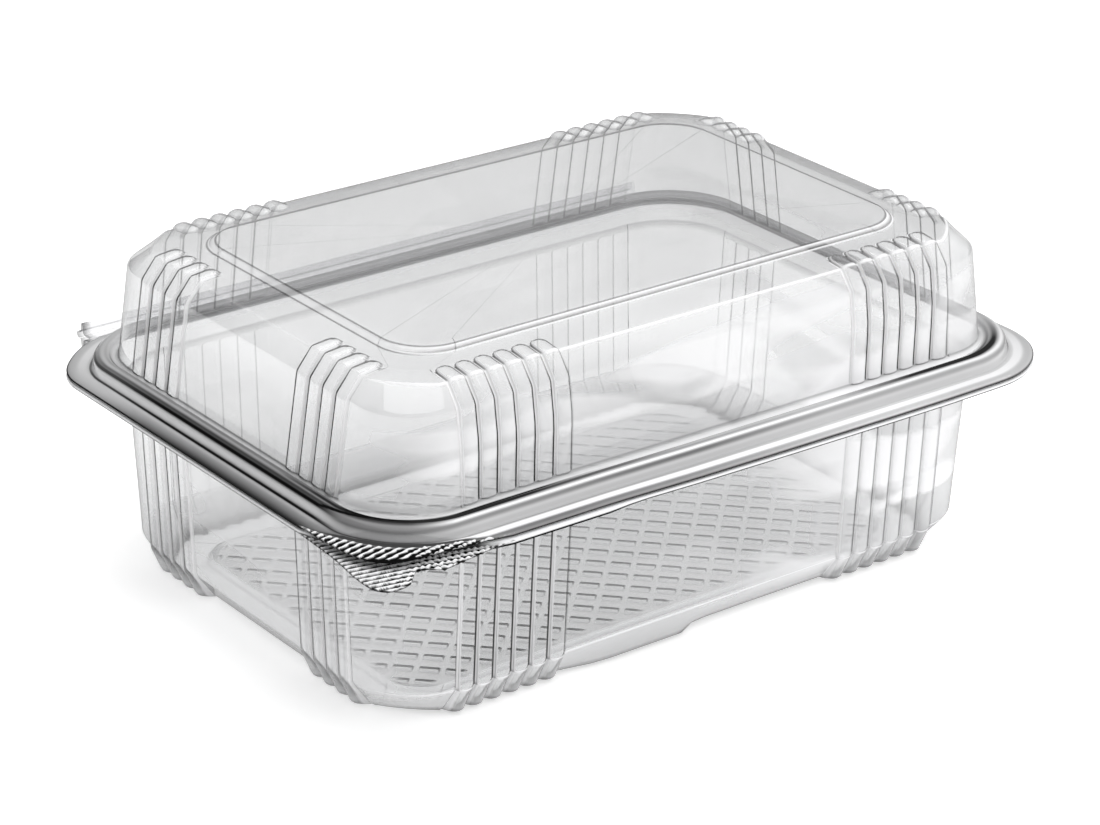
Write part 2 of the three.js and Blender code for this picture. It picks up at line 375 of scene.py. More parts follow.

# %% [markdown]
# ## The painted lines of the flutes
# Each flute gets a painted line on each of its flanks: painted shade on one flank, and a
# painted highlight on the other, the near one. The shade is a fold value, which the
# material shows only where the sheet is seen at an angle. On the lid's sloping band and on
# the left walls a painted black line lies on top of it, which shows at every angle.

# %% Painted lines of the flutes at one level
LINE_EDGE = 0.12                        # how softly a line sets in, in crest distances
LINE_FROM, LEFT_LINE_FROM, THIN_LINE_FROM = 0.76, 0.5, 0.88
LINE_TO, TONGUE_LINE_TO = 1.3, 1.1
BRIGHT_FROM, BRIGHT_TO = 0.78, 1.2
PAST_END = 1.1                          # no lines this far past a flute's end
TONGUE_HEIGHTS = (77.0, 79.8)           # where the flutes turn into tongues
TOE_HEIGHT = 6.0                        # thin lines below this
GROUP_END_LINES = 0.4                   # factor on the fold where a group ends
NEAR_LINES, NEAR_BELOW, LEFT_NEAR_BELOW = 0.2, 7.6, 75.0    # factor on near flanks
BEHIND_TONGUES = 0.5                    # how much the tongues at the back fade
BAND_HEIGHTS = ((75.0, 76.0, 79.6, 80.2), (0.0, 1.0, 1.0, 0.0))
LEFT_WALLS = ((8.0, 46.0), (53.5, 75.0))
BAND_BLACK, WALL_BLACK = 0.8, 0.93


def flute_lines(level, stations, strength):
    """The fold, the painted black line and the painted highlight at every station of a level."""
    height, end = level[HEIGHT], level[END]
    side, kind, place, crest = split_stations(stations)
    away = crest_distance(crest, end)
    raised = strength * min(1.0, (abs(level[OUT]) + abs(level[UP])) / (0.5 * RISE))
    raised = raised * (end < PAST_END)

    tongue = np.interp(height, TONGUE_HEIGHTS, (0.0, 1.0))
    line_from = np.where(side == LEFT, LEFT_LINE_FROM, LINE_FROM)
    line_from = line_from * (1 - tongue) + THIN_LINE_FROM * tongue
    line_from = np.maximum(line_from, THIN_LINE_FROM * float(height < TOE_HEIGHT))
    line_to = LINE_TO - (LINE_TO - TONGUE_LINE_TO) * tongue
    fold = raised * np.clip((away - line_from) / LINE_EDGE, 0, 1) * (away < line_to)
    start, last = group_limits(side)
    at_end = np.minimum(np.abs(np.abs(place) - start), np.abs(np.abs(place) - last)) < 0.01
    fold = np.where(at_end & (kind == ALONG), GROUP_END_LINES * fold, fold)
    near = np.where(side == LEFT, crest > 0, crest < 0)
    quiet = near & (height < np.where(side == LEFT, LEFT_NEAR_BELOW, NEAR_BELOW))
    fold = np.where(quiet, NEAR_LINES * fold, fold)
    behind = (side == RIGHT) | (side == BACK)
    fold = np.where(behind, (1 - BEHIND_TONGUES * tongue) * fold, fold)

    glinting = np.array([SIDE_GLINT[k] for k in side])
    band = np.interp(height, *BAND_HEIGHTS)
    on_wall = float(any(low < height < high for low, high in LEFT_WALLS))
    wall = np.where(side == LEFT, on_wall, 0.0)
    black = np.maximum(BAND_BLACK * band, WALL_BLACK * wall) * fold * (glinting > 0.5) * ~near
    bright = raised * np.clip((away - BRIGHT_FROM) / LINE_EDGE, 0, 1) * (away < BRIGHT_TO)
    return fold, black, bright * near * glinting


print("heights of the tongues, in mm:", TONGUE_HEIGHTS)

# %% Painted light values of one ring
LIP_EDGE = 0.3          # the cut edge, this far in, keeps its own painted shade
FLANGE_IN = 4.2         # the flat flange ends here
GROOVE_MOST = 0.97


def ring_painted_light(level, stations, paint_table, runs, painted_reflection):
    """The sheet's values at every station of a level, as columns of VALUE_NAMES."""
    table, side = np.array(paint_table), split_stations(stations)[0]
    lit, shaded, glint, shaded_glint, body, lines = (
        np.interp(level[RUN], runs, table[:, k])
        for k in (LIT, SHADED, GLINT, SHADED_GLINT, BODY, LINES))
    shade = station_shade(stations)
    dark = lit * (1 - shade) + shaded * shade
    glints = glint * (1 - shade) + shaded_glint * shade
    lines = lines * np.array([SIDE_LINES[k] for k in side])
    if level[HEIGHT] < RIM_Z:
        lines = lines * along_side(stations, LOW_LINES)
    # the rim's painted shade fades and hardens along each side
    if painted_reflection is None and level[INSET] > LIP_EDGE:
        flange = level[HEIGHT] > LIP and level[INSET] < FLANGE_IN
        dark = dark * along_side(stations, FLANGE_DARK if flange else BEAD_DARK)
        dark = dark ** along_side(stations, DARK_POWER)
    fold, black, bright = flute_lines(level, stations, lines)
    dark = np.maximum(dark, black)
    # the lid rim's painted shade at the tabs, and a painted black reflection in its groove
    if table.shape[1] > GROOVE:
        corner = tab_corner(stations)
        dark = dark * (1 - corner) + lines * corner
        glints = glints * (1 - corner) * along_side(stations, RIM_GLINT)
        groove = np.interp(level[RUN], runs, table[:, GROOVE])
        groove = groove * along_side(stations, GROOVE_DARK)
        dark = np.maximum(dark, np.clip(groove, 0, GROOVE_MOST))
    glints = np.maximum(glints, bright)
    painted_reflections = np.zeros(len(stations))
    if painted_reflection is not None:
        painted_reflections = along_side(stations, painted_reflection) * np.interp(level[HEIGHT], *PAINTED_REFLECTION_HEIGHTS)
    return np.column_stack([dark, fold, glints, np.full(len(stations), body), painted_reflections])


print("values at each point:", VALUE_NAMES)

# %% [markdown]
# ## From rings to a mesh
# The rings become rows of four-sided faces. Each point also stores its values of painted
# shade, glint and reflection, and its body, as attributes, which is the simplest way to
# tell a material where the sheet is folded and where to paint light and shade.
# Shading is smooth everywhere, since the bends are real curves in the mesh.

# %% A mesh object from points, faces and values
def mesh_object(name, points, faces, values=None, smooth=True):
    """A new object from points in mm, with the values stored at its points."""
    mesh = bpy.data.meshes.new(name)
    mesh.from_pydata((np.asarray(points) * MM).tolist(), [], [list(f) for f in faces])
    mesh.polygons.foreach_set("use_smooth", [smooth] * len(mesh.polygons))
    for key, numbers in (values or {}).items():
        layer = mesh.attributes.new(key, "FLOAT", "POINT")
        layer.data.foreach_set("value", np.asarray(numbers, np.float32))
    mesh.update()
    thing = bpy.data.objects.new(name, mesh)
    bpy.context.scene.collection.objects.link(thing)
    return thing


def grid_faces(rows, columns, closed=True):
    """Four-sided faces of a grid, with its columns joined into a loop if closed."""
    faces = []
    last = columns if closed else columns - 1
    for r in range(rows - 1):
        for c in range(last):
            d = (c + 1) % columns
            faces.append((r * columns + c, r * columns + d,
                          (r + 1) * columns + d, (r + 1) * columns + c))
    return faces


def count_triangles(thing):
    """How many triangles an object's faces make."""
    return sum(len(p.vertices) - 2 for p in thing.data.polygons)


def shell(name, levels, paint_table, stations, cap=(), shift=None, painted_reflection=None, paint_light=None):
    """A sheet from a profile. cap shrinks the last ring towards the middle and shift moves
    points. A wall also gets a table of painted reflections, and a last function can paint
    more shade and glints onto the values."""
    runs = painted_light_runs(paint_table, levels)
    profile = smooth_profile(levels, runs)
    points = [ring_points(level, stations) for level in profile]
    values = [ring_painted_light(level, stations, paint_table, runs, painted_reflection) for level in profile]
    if paint_light is not None:
        for p, v, level in zip(points, values, profile):
            paint_light(v, p, level, stations)
    if shift is not None:
        points = [shift(p, level) for p, level in zip(points, profile)]
    last, last_values = points[-1], values[-1]
    for share in cap:
        points.append(last * (share, share, 1.0))
        values.append(last_values)
    columns = np.concatenate(values).T
    faces = grid_faces(len(points), len(stations))
    return mesh_object(name, np.concatenate(points), faces, dict(zip(VALUE_NAMES, columns)))


print("mesh helpers ready")

# %% [markdown]
# ## The lid
# The lid's sheet starts at its cut lip and runs inwards over a flat flange, up and over a
# bead that snaps onto the tray, down into a narrow groove and up the tall wall. The wall
# ends in a sloping band with cut corners, and the flat top carries a slightly raised
# panel. Flutes run up the wall, over the band and end as rounded tongues on the top.

# %% Lid profile, from the lip to the panel
LID_RIM = [
    # inset, height, radius, cut, out, up, end, round
    (1.4, LIP - 0.1, 21.0, 0, 0, 0, 9, 0),
    (0.25, LIP - 0.1, 21.0, 0, 0, 0, 9, 0.25),
    (0.0, LIP + 0.25, 21.0, 0, 0, 0, 9, 0.2),
    (0.7, LIP + 0.65, 20.9, 0, 0, 0, 9, 0.4),
    (4.4, 50.05, 20.6, 0, 0, 0, 9, 0.5),
    (5.15, 52.9, 20.2, 0, 0, 0, 9, 0.6),
    (6.2, 53.6, 20.0, 0, 0, 0, 9, 0.5),
    (8.2, 53.6, 19.2, 0, 0, 0, 9, 0.5),
    (8.9, 52.7, 18.8, 0, 0, 0, 9, 0.35),
    (9.5, 52.6, 18.8, 0, 0, 0, 9, 0),
]
# painted shade and glint along the lid rim's profile
LID_RIM_PAINTED_LIGHT = [
    # level, offset, lit, shaded, lit glint, shaded glint, body, at the tabs, groove
    (0, 0.0, 0.3, 0.4, 0.0, 0.0, 0.4, 0.3, 0),
    (1, 0.0, 1.6, 0.96, 0.0, 0.0, 0.6, 0.9, 0),
    (2, 0.0, 0.9, 1.0, 0.0, 0.0, 0.8, 1.0, 0),
    (2, 0.3, 0.6, 0.97, 0.0, 0.0, 0.85, 0.9, 0),
    (3, -0.35, 0.48, 0.95, 0.0, 0.0, 0.85, 0.8, 0),
    (3, 0.15, 0.55, 0.86, 0.0, 0.0, 0.85, 0.7, 0),
    (3, 0.65, 0.54, 0.77, 0.0, 0.0, 0.85, 0.7, 0),
    (3, 0.9, 0.5, 0.72, 0.0, 0.0, 0.85, 0.7, 0),
    (3, 1.15, 0.25, 0.67, 0.1, 0.0, 0.85, 0.7, 0),
    (3, 1.4, 0.0, 0.62, 0.5, 0.0, 0.85, 0.7, 0),
    (3, 1.65, 0.0, 0.58, 0.95, 0.0, 0.85, 0.7, 0),
    (4, -1.4, 0.0, 0.42, 1.0, 0.0, 0.85, 0.7, 0),
    (4, -0.9, 0.0, 0.22, 0.9, 0.0, 0.85, 0.7, 0),
    (4, -0.65, 0.1, 0.18, 0.15, 0.0, 0.85, 0.8, 0),
    (4, -0.4, 0.4, 0.4, 0.0, 0.0, 0.85, 0.85, 0),
    (4, -0.25, 0.42, 0.9, 0.0, 0.0, 0.85, 0.9, 0),
    (4, -0.1, 0.35, 1.0, 0.0, 0.0, 0.85, 0.85, 0),
    (4, 0.2, 0.18, 1.0, 0.0, 0.0, 0.85, 0.4, 0),
    (4, 0.35, 0.1, 0.9, 0.0, 0.0, 0.85, 0.2, 0),
    (4, 0.6, 0.14, 0.4, 0.0, 0.0, 0.85, 0.1, 0),
    (4, 0.85, 0.2, 0.1, 0.0, 0.1, 0.85, 0.1, 0),
    (4, 1.3, 0.2, 0.0, 0.0, 0.3, 0.85, 0.18, 0),
    (5, -1.3, 0.1, 0.0, 0.0, 0.3, 0.85, 0.28, 0),
    (5, -1.05, 0.07, 0.0, 0.0, 0.1, 0.85, 0.42, 0),
    (5, -0.8, 0.22, 0.1, 0.0, 0.0, 0.85, 0.6, 0),
    (5, -0.6, 0.45, 0.2, 0.0, 0.0, 0.85, 0.68, 0),
    (5, -0.35, 0.65, 0.68, 0.0, 0.0, 0.85, 0.64, 0),
    (5, -0.1, 0.73, 1.0, 0.0, 0.0, 0.85, 0.62, 0),
    (5, 0.2, 0.68, 1.0, 0.0, 0.0, 0.85, 0.62, 0),
    (5, 0.42, 0.35, 1.0, 0.0, 0.0, 0.85, 0.62, 0),
    (6, -0.57, 0.0, 0.88, 0.6, 0.0, 0.85, 0.58, 0),
    (6, -0.32, 0.0, 0.9, 1.0, 0.0, 0.85, 0.6, 0),
    (6, -0.07, 0.0, 0.9, 0.5, 0.0, 0.85, 0.75, 0),
    (6, 0.18, 0.2, 0.75, 0.0, 0.0, 0.85, 0.86, 0.2),
    (6, 0.43, 0.43, 0.52, 0.0, 0.0, 0.85, 0.9, 0.5),
    (6, 0.68, 0.45, 0.4, 0.0, 0.0, 0.85, 0.92, 0.85),
    (6, 0.93, 0.3, 0.42, 0.0, 0.0, 0.85, 0.95, 1.0),
    (7, -0.65, 0.2, 0.65, 0.0, 0.0, 0.85, 0.99, 1.0),
    (7, -0.4, 0.1, 0.67, 0.0, 0.0, 0.85, 1.0, 0.8),
    (7, -0.15, 0.05, 0.55, 0.0, 0.0, 0.85, 1.0, 0.6),
    (7, 0.1, 0.05, 0.5, 0.3, 0.0, 0.85, 1.0, 0.5),
    (8, -0.2, 0.1, 0.6, 0.6, 0.0, 0.8, 1.0, 0.7),
    (8, 0.2, 0.05, 0.4, 0.8, 0.0, 0.65, 0.8, 0.5),
    (9, 0.0, 0.0, 0.2, 0.7, 0.1, 0.5, 0.1, 0),
]
LID_WALL = [
    # inset, height, radius, cut, out, up, end, round
    (9.5, 52.6, 18.8, 0, 0, 0, 9, 0),
    (10.2, 53.05, 18.7, 0, 0.75 * RISE, 0, 0, 0.35),
    (13.6, 75.2, 13.6, 0.0, RISE, 0.3, 0, 0.6),
    (17.3, 79.8, 10.6, 0.75, 0.62 * RISE, 0.75 * RISE, 0, 0.6),
    (20.8, 80.15, 8.2, 0.7, 0, 0.95 * RISE, 0, 0),
    (21.6, 80.25, 7.6, 0.7, 0, 0.95 * RISE, 0.38, 0),
    (22.3, 80.3, 7.1, 0.7, 0, 0.95 * RISE, 0.68, 0),
    (22.8, 80.35, 6.7, 0.7, 0, 0.95 * RISE, 0.88, 0),
    (23.1, 80.4, 6.5, 0.7, 0, 0.95 * RISE, 1.0, 0),
    (23.5, 80.42, 6.2, 0.7, 0, 0, 1.2, 0),
    (27.4, 80.85, 12.0, 0.0, 0, 0, 9, 0.5),
    (28.9, LID_TOP - 0.12, 11.4, 0, 0, 0, 9, 0.6),
    (31.0, LID_TOP, 10.0, 0, 0, 0, 9, 0),
]
# painted shade, glint and flute lines along the lid wall's profile
LID_WALL_PAINTED_LIGHT = [
    # level, offset, lit, shaded, lit glint, shaded glint, body, lines
    (0, 0.0, 0.0, 0.2, 0.7, 0.1, 0.5, 0.2),
    (0, 0.12, 0.0, 0.2, 0.7, 0.1, 0.5, 0.2),
    (0, 0.22, 0.0, 0.2, 0.7, 0.1, 0.5, 0.3),
    (1, -0.4, 0.0, 0.3, 0.6, 0.1, 0.3, 0.6),
    (1, -0.1, 0.4, 0.7, 0.0, 0.0, 0.2, 0.9),
    (1, 0.1, 0.4, 0.7, 0.0, 0.0, 0.2, 0.9),
    (1, 0.45, 0.0, 0.1, 0.2, 0.06, 0.05, 1.0),
    (1, 1.0, 0.0, 0.0, 0.0, 0.0, 0.0, 1.0),
    (2, -8.0, 0.0, 0.0, 0.0, 0.0, 0.0, 1.0),
    (2, -1.0, 0.0, 0.0, 0.0, 0.0, 0.0, 0.95),
    (2, 0.0, 0.03, 0.05, 0.1, 0.02, 0.0, 0.95),
    (3, -0.6, 0.0, 0.0, 0.2, 0.04, 0.0, 0.85),
    (3, -0.15, 0.0, 0.0, 0.9, 0.2, 0.0, 0.8),
    (3, 0.2, 0.0, 0.0, 0.7, 0.12, 0.0, 0.8),
    (3, 0.6, 0.0, 0.0, 0.0, 0.0, 0.0, 0.9),
    (9, 0.0, 0.0, 0.0, 0.0, 0.0, 0.0, 0.95),
    (10, -0.3, 0.0, 0.0, 0.0, 0.0, 0.0, 0.0),
    (10, 0.0, 0.1, 0.75, 0.2, 0.0, 0.0, 0.0),
    (10, 0.2, 0.0, 0.3, 0.9, 0.2, 0.0, 0.0),
    (10, 0.4, 0.1, 0.0, 0.9, 0.3, 0.0, 0.0),
    (10, 0.6, 0.55, 0.0, 0.0, 0.3, 0.0, 0.0),
    (11, -0.7, 0.1, 0.0, 0.7, 0.3, 0.0, 0.0),
    (11, -0.25, 0.0, 0.1, 1.0, 0.2, 0.0, 0.0),
    (11, 0.05, 0.8, 0.8, 0.0, 0.0, 0.0, 0.0),
    (11, 0.25, 0.4, 0.4, 0.0, 0.0, 0.0, 0.0),
    (11, 0.5, 0.0, 0.0, 0.0, 0.0, 0.0, 0.0),
    (12, 0.0, 0.0, 0.0, 0.0, 0.0, 0.0, 0.0),
]
LID_CAP = (0.985, 0.9, 0.75, 0.55, 0.35, 0.15, 0.005)
# painted reflections of a pale room on the lid's walls, along each side
LID_PAINTED_REFLECTION = {RIGHT: (0.1, 0.1), BACK: (0.05, 0.05), LEFT: (0.05, 0.05),
            FRONT: (0.5, 0.38, 0.4, 0.45, 0.35)}
print("levels of the lid:", len(LID_RIM), len(LID_WALL))

# %% [markdown]
# ## Where the rims differ from a plain rounded rectangle
# Both lips are drawn in at the front left corner, where the tabs take their place. A
# sheet this thin is also never quite true. The front of the rim sags between the
# corners, and the back left corner is worn down a little. A lattice could bend the
# finished mesh, but then the tables would have to know about it. Instead small functions
# move the points ring by ring, so each one still knows its level.

# %% Drawing the lip in
RIM_RADIUS = 21.0
CORNER_X, CORNER_Y = -RIM_X + RIM_RADIUS, -RIM_Y + RIM_RADIUS
TAB_X, TAB_Y = -50, -20     # the tabs lie beyond these
PULL_AT = (-30, -24, -20.4, -16, -8, 8, 16, 20, 24, 28, 33)
PULL_BY = (0.0, 1.7, 3.2, 4.3, 5.0, 5.0, 4.6, 4.2, 3.2, 1.5, 0.0)


def tab_place(x, y):
    """Distance along the front left corner, from the left side to the front."""
    return (x + RIM_X) - (y + RIM_Y)


def pull_at(x, y):
    """How far the lip is drawn in at a point."""
    return np.interp(tab_place(x, y), PULL_AT, PULL_BY) * (x < TAB_X) * (y < TAB_Y)


def pull_in(points, level):
    """Draws the lip in to where the ridged tab begins."""
    x, y = points[:, 0], points[:, 1]
    move = np.maximum(pull_at(x, y) - level[INSET], 0.0)
    corner_x, corner_y = np.maximum(CORNER_X - x, 0.0), np.maximum(CORNER_Y - y, 0.0)
    length = np.maximum(np.hypot(corner_x, corner_y), 1e-6)
    moved = points.copy()
    moved[:, 0] += move * corner_x / length
    moved[:, 1] += move * corner_y / length
    return moved


print("the lip is drawn in by up to", max(PULL_BY), "mm")

# %% Sagging front and worn corner
SAG_AT = (-37, -14, 15, 45, 61, 77, 97)
SAG_BY = (0.0, 0.5, 0.8, 1.0, 1.0, 0.8, 0.0)
SAG_INNER = 0.3             # the inside of the rim sags this much of the whole
FRONT_FROM, FRONT_EASE = 16.0, 4.0
RIM_IN = 9.0                # the rim's inner edge, for what fades towards it
WORN_IN, WORN_DOWN, WORN_REACH = 0.7 * 1.1, 0.6, 26.0
WORN_FULL = 1.6             # the wear is whole over the outer part of the rim
WORN_X, WORN_Y = -60, 20    # the worn corner lies beyond these
FOOT_IN, FOOT_SAG = 1.9, 0.3
FOOT_IN_HEIGHTS = ((52.6, 53.0, 54.5, 66.0), (0.0, 1.0, 1.0, 0.0))
FOOT_SAG_HEIGHTS = ((52.6, 56.0, 70.0), (1.0, 1.0, 0.0))
FOOT_HALF, FOOT_EASE, FOOT_DEPTH = 84.0, 20.0, 6.0


def settle(points, level):
    """The small unevenness of a real rim: a sagging front and a softer back corner."""
    points = pull_in(points, level)
    x, y = points[:, 0], points[:, 1]
    outward = np.clip(1 - level[INSET] / RIM_IN, 0, 1)
    front = np.clip((-y - RIM_Y + FRONT_FROM) / FRONT_EASE, 0, 1)
    share = SAG_INNER + (1 - SAG_INNER) * outward
    points[:, 2] -= np.interp(x, SAG_AT, SAG_BY) * front * share
    off_corner = np.abs((x + RIM_X) - (RIM_Y - y))
    corner = np.clip(1 - off_corner / WORN_REACH, 0, 1) * (x < WORN_X) * (y > WORN_Y)
    corner = corner * corner * (3 - 2 * corner) * np.clip(WORN_FULL * outward, 0, 1)
    points[:, 0] += WORN_IN * corner
    points[:, 1] -= WORN_IN * corner
    points[:, 2] -= WORN_DOWN * corner
    return points


def lid_foot(points, level):
    """Sets the front wall's foot a little further in, and lets it follow the rim."""
    points = points.copy()
    low = np.interp(level[HEIGHT], *FOOT_IN_HEIGHTS)
    front = points[:, 1] < -(RIM_Y - level[INSET]) + FOOT_DEPTH
    near = np.clip((FOOT_HALF - np.abs(points[:, 0])) / FOOT_EASE, 0, 1) * front
    points[:, 1] += FOOT_IN * low * near
    sag = np.interp(level[HEIGHT], *FOOT_SAG_HEIGHTS)
    points[:, 2] -= FOOT_SAG * sag * near * np.interp(points[:, 0], SAG_AT, SAG_BY)
    return points


print("the front sags by up to", max(SAG_BY), "mm")

# %% [markdown]
# ## Painted light that no profile table can hold
# Some painted shade and glints depend on where they are on the container and not only
# on the profile. The sheet is crowded where the lip was drawn in and gets painted shade
# there, a painted black reflection drifts from the bead to the groove round the tabs,
# and the lid's wall gets a painted glint at the tabs and soft patches of painted shade.

# %% Painted shade and glints on the rims and the lid's wall
DARK_VALUE, GLINT_VALUE = VALUE_NAMES.index("dark"), VALUE_NAMES.index("glint")
# painted shade where the lip is drawn in under the tabs
TUCK_FROM, TUCK_SLOPE, TUCK_DARK = 0.9, 2.5, 0.9
# a painted black reflection that drifts round the corner with the tabs
STREAK_AT = (0.0, 0.157, 0.317, 0.458, 0.6)     # place round the corner
STREAK_BY = (1.1, 1.75, 2.5, 3.06, 3.1)         # mm past the bead's foot
STREAK_BEFORE, STREAK_RISE = 0.4, 0.7           # the same, on the gap before the corner
STREAK_END, STREAK_HALF, STREAK_EDGE = 0.62, 0.6, 0.25
BEAD_RUN = with_run(LID_RIM)[5, RUN]
# painted shade at the wall's foot, at the start of the front
FOOT_DARK = {RIGHT: (0.0, 0.0), BACK: (0.0, 0.0), LEFT: (0.0, 0.0),
             FRONT: (1.0, 1.0, 0.3, 0.0, 0.0, 0.0, 0.0, 0.0)}
FOOT_TOP, FOOT_BLACK_BELOW, FOOT_BLACK_EDGE = 53.6, 52.72, 0.05
CORNER_GAIN = 1.5           # makes the tables' soft ends shorter
# a painted glint at the tabs, and patches of painted shade on the left wall and at the front
# right corner, by height
TAB_GLINT = ((52.8, 53.2, 58.0), (0.0, 0.5, 0.0))
LEFT_PAINTED_SHADE = ((53, 56, 66, 72), (0.16, 0.16, 0.12, 0.0))
RIGHT_PAINTED_SHADE = ((53, 55, 62, 68), (0.4, 0.4, 0.25, 0.0))
RIGHT_SHADE_AT, RIGHT_SHADE_HALF = 0.6, 0.35      # place round the front right corner


def darken(values, amount):
    """Paints shade: makes points at least this dark."""
    values[:, DARK_VALUE] = np.maximum(values[:, DARK_VALUE], amount)


def tuck_painted_shade(values, points, level, stations):
    """Where the lip was drawn in under a tab the sheet is crowded; paints shade there and takes
    the painted glint away.
    """
    pull = pull_at(points[:, 0], points[:, 1])
    tucked = np.clip((pull - TUCK_FROM - level[INSET]) * TUCK_SLOPE, 0, 1)
    darken(values, TUCK_DARK * tucked)
    values[:, GLINT_VALUE] *= 1 - tucked


def rim_painted_shade(values, points, level, stations):
    """Paints shade where the lip was drawn in, and a black reflection that drifts from the bead
    to the groove round the tabs.
    """
    tuck_painted_shade(values, points, level, stations)
    side, kind, place, _ = split_stations(stations)
    centre = np.interp(place, STREAK_AT, STREAK_BY)
    centre = np.where(kind == GAP, STREAK_BEFORE + STREAK_RISE * place, centre)
    on_gap = (kind == GAP) & (place > 0)
    on_corner = (kind == CORNER) & (place < STREAK_END)
    off_centre = np.abs(level[RUN] - BEAD_RUN - centre)
    streak = np.clip((STREAK_HALF - off_centre) / STREAK_EDGE, 0, 1)
    darken(values, streak * ((side == LEFT) & (on_gap | on_corner)))


def wall_painted_light(values, points, level, stations):
    """Keeps the wall's foot clear of painted shade at the tabs and paints it black at the
    start of the front, and adds a painted glint at the tabs and patches of painted shade on
    the left and at the right corner."""
    height = level[HEIGHT]
    side, kind, place, _ = split_stations(stations)
    if height < FOOT_TOP:
        values[:, DARK_VALUE] *= 1 - np.clip(CORNER_GAIN * tab_corner(stations), 0, 1)
        low = np.clip((FOOT_BLACK_BELOW - height) / FOOT_BLACK_EDGE, 0, 1)
        start = CORNER_GAIN * along_side(stations, FOOT_DARK) - 0.5
        darken(values, low * np.clip(start, 0, 1))
    tabs = tab_corner(stations) * np.interp(height, *TAB_GLINT)
    values[:, GLINT_VALUE] = np.maximum(values[:, GLINT_VALUE], tabs)
    darken(values, np.interp(height, *LEFT_PAINTED_SHADE) * (side == LEFT) * (kind == ALONG))
    right = (side == FRONT) & (kind == CORNER)
    right = right * np.clip(1 - np.abs(place - RIGHT_SHADE_AT) / RIGHT_SHADE_HALF, 0, 1)
    darken(values, np.interp(height, *RIGHT_PAINTED_SHADE) * right)


print("the bead's foot is", round(BEAD_RUN, 2), "mm along the lid's profile")

# %% The lid's two pieces
lid_rim = shell("lid_rim", LID_RIM, LID_RIM_PAINTED_LIGHT, PLAIN, shift=settle, paint_light=rim_painted_shade)
lid = shell("lid_shell", LID_WALL, LID_WALL_PAINTED_LIGHT, FLUTED, LID_CAP, shift=lid_foot,
            painted_reflection=LID_PAINTED_REFLECTION, paint_light=wall_painted_light)
for piece in (lid_rim, lid):
    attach(piece, "cover")
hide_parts("lid")
print("lid triangles:", count_triangles(lid_rim), count_triangles(lid))

# %% [markdown]
# ## The tray
# The tray has the same kind of rim, nested just under the lid's. Its outer edge turns
# down as a short skirt, which hangs a little lower beside the pull tab to leave room for
# a fingertip. The wall runs down with its flutes, turns in over a sloping toe and stands
# on a flat ring around a slightly raised floor.

# %% Tray profile, from the skirt to the floor's border
FLOOR_Z = 0.9
FLOOR_IN = 27.0
TRAY_RIM = [
    # inset, height, radius, cut, out, up, end, round
    (0.9, RIM_Z + 0.75, 20.8, 0, 0, 0, 9, 0),
    (0.2, RIM_Z + 0.7, 21.0, 0, 0, 0, 9, 0.2),
    (0.0, RIM_Z + 1.0, 21.0, 0, 0, 0, 9, 0.2),
    (0.1, RIM_Z + 1.55, 21.0, 0, 0, 0, 9, 0.3),
    (0.7, RIM_Z + 1.7, 20.9, 0, 0, 0, 9, 0.3),
    (5.0, RIM_Z + 1.9, 20.5, 0, 0, 0, 9, 0.5),
    (6.0, RIM_Z + 5.1, 20.0, 0, 0, 0, 9, 0.5),
    (6.6, RIM_Z + 5.6, 20.0, 0, 0, 0, 9, 0.4),
    (8.1, RIM_Z + 5.6, 19.0, 0, 0, 0, 9, 0.4),
    (8.9, RIM_Z + 4.5, 18.5, 0, 0, 0, 9, 0.4),
    (11.5, RIM_Z + 0.9, 18.0, 0, 0, 0, 9, 0),
]
# painted shade and glint along the tray rim's profile
TRAY_RIM_PAINTED_LIGHT = [
    # level, offset, lit, shaded, lit glint, shaded glint, body, lines
    (0, 0.0, 0.1, 0.5, 0.2, 0.04, 0.5, 0),
    (1, -0.15, 1.7, 1.0, 0.0, 0.0, 0.8, 0),
    (2, -0.1, 1.7, 1.0, 0.0, 0.0, 0.8, 0),
    (2, 0.15, 0.0, 0.2, 0.9, 0.6, 0.85, 0),
    (3, 0.0, 0.0, 0.0, 1.0, 0.9, 0.85, 0),
    (4, 0.0, 0.0, 0.1, 0.8, 0.6, 0.7, 0),
    (4, 0.6, 0.2, 0.3, 0.0, 0.0, 0.4, 0),
    (5, 0.0, 0.3, 0.5, 0.0, 0.0, 0.3, 0),
    (6, 0.0, 0.2, 0.4, 0.3, 0.06, 0.3, 0),
    (8, 0.0, 0.2, 0.4, 0.2, 0.04, 0.3, 0),
    (9, -0.2, 0.3, 0.4, 0.0, 0.0, 0.2, 0),
    (9, 0.2, 0.1, 0.1, 0.2, 0.04, 0.1, 0),
    (10, 0.0, 0.1, 0.1, 0.2, 0.04, 0.0, 0),
]
TRAY_WALL = [
    # inset, height, radius, cut, out, up, end, round
    (11.5, RIM_Z + 0.9, 18.0, 0, 0, 0, 9, 0),
    (11.9, RIM_Z - 1.0, 17.6, 0, 0.6 * RISE, 0, 0, 0.5),
    (13.6, 7.6, 15.9, 0.1, RISE, -0.3, 0, 0.8),
    (18.2, 1.1, 11.0, 0.75, 3.0, -0.2, 0, 0.8),
    (19.8, 0.0, 9.8, 0.8, 1.6, 0, 0.5, 0.5),
    (22.0, 0.0, 8.4, 0.8, 0, 0, 1.2, 0),
    (26.0, 0.0, 8.6, 0.6, 0, 0, 9, 0.4),
    (FLOOR_IN, FLOOR_Z, 9.0, 0.5, 0, 0, 9, 0.35),
    (FLOOR_IN + 0.8, FLOOR_Z, 9.0, 0.5, 0, 0, 9, 0),
]
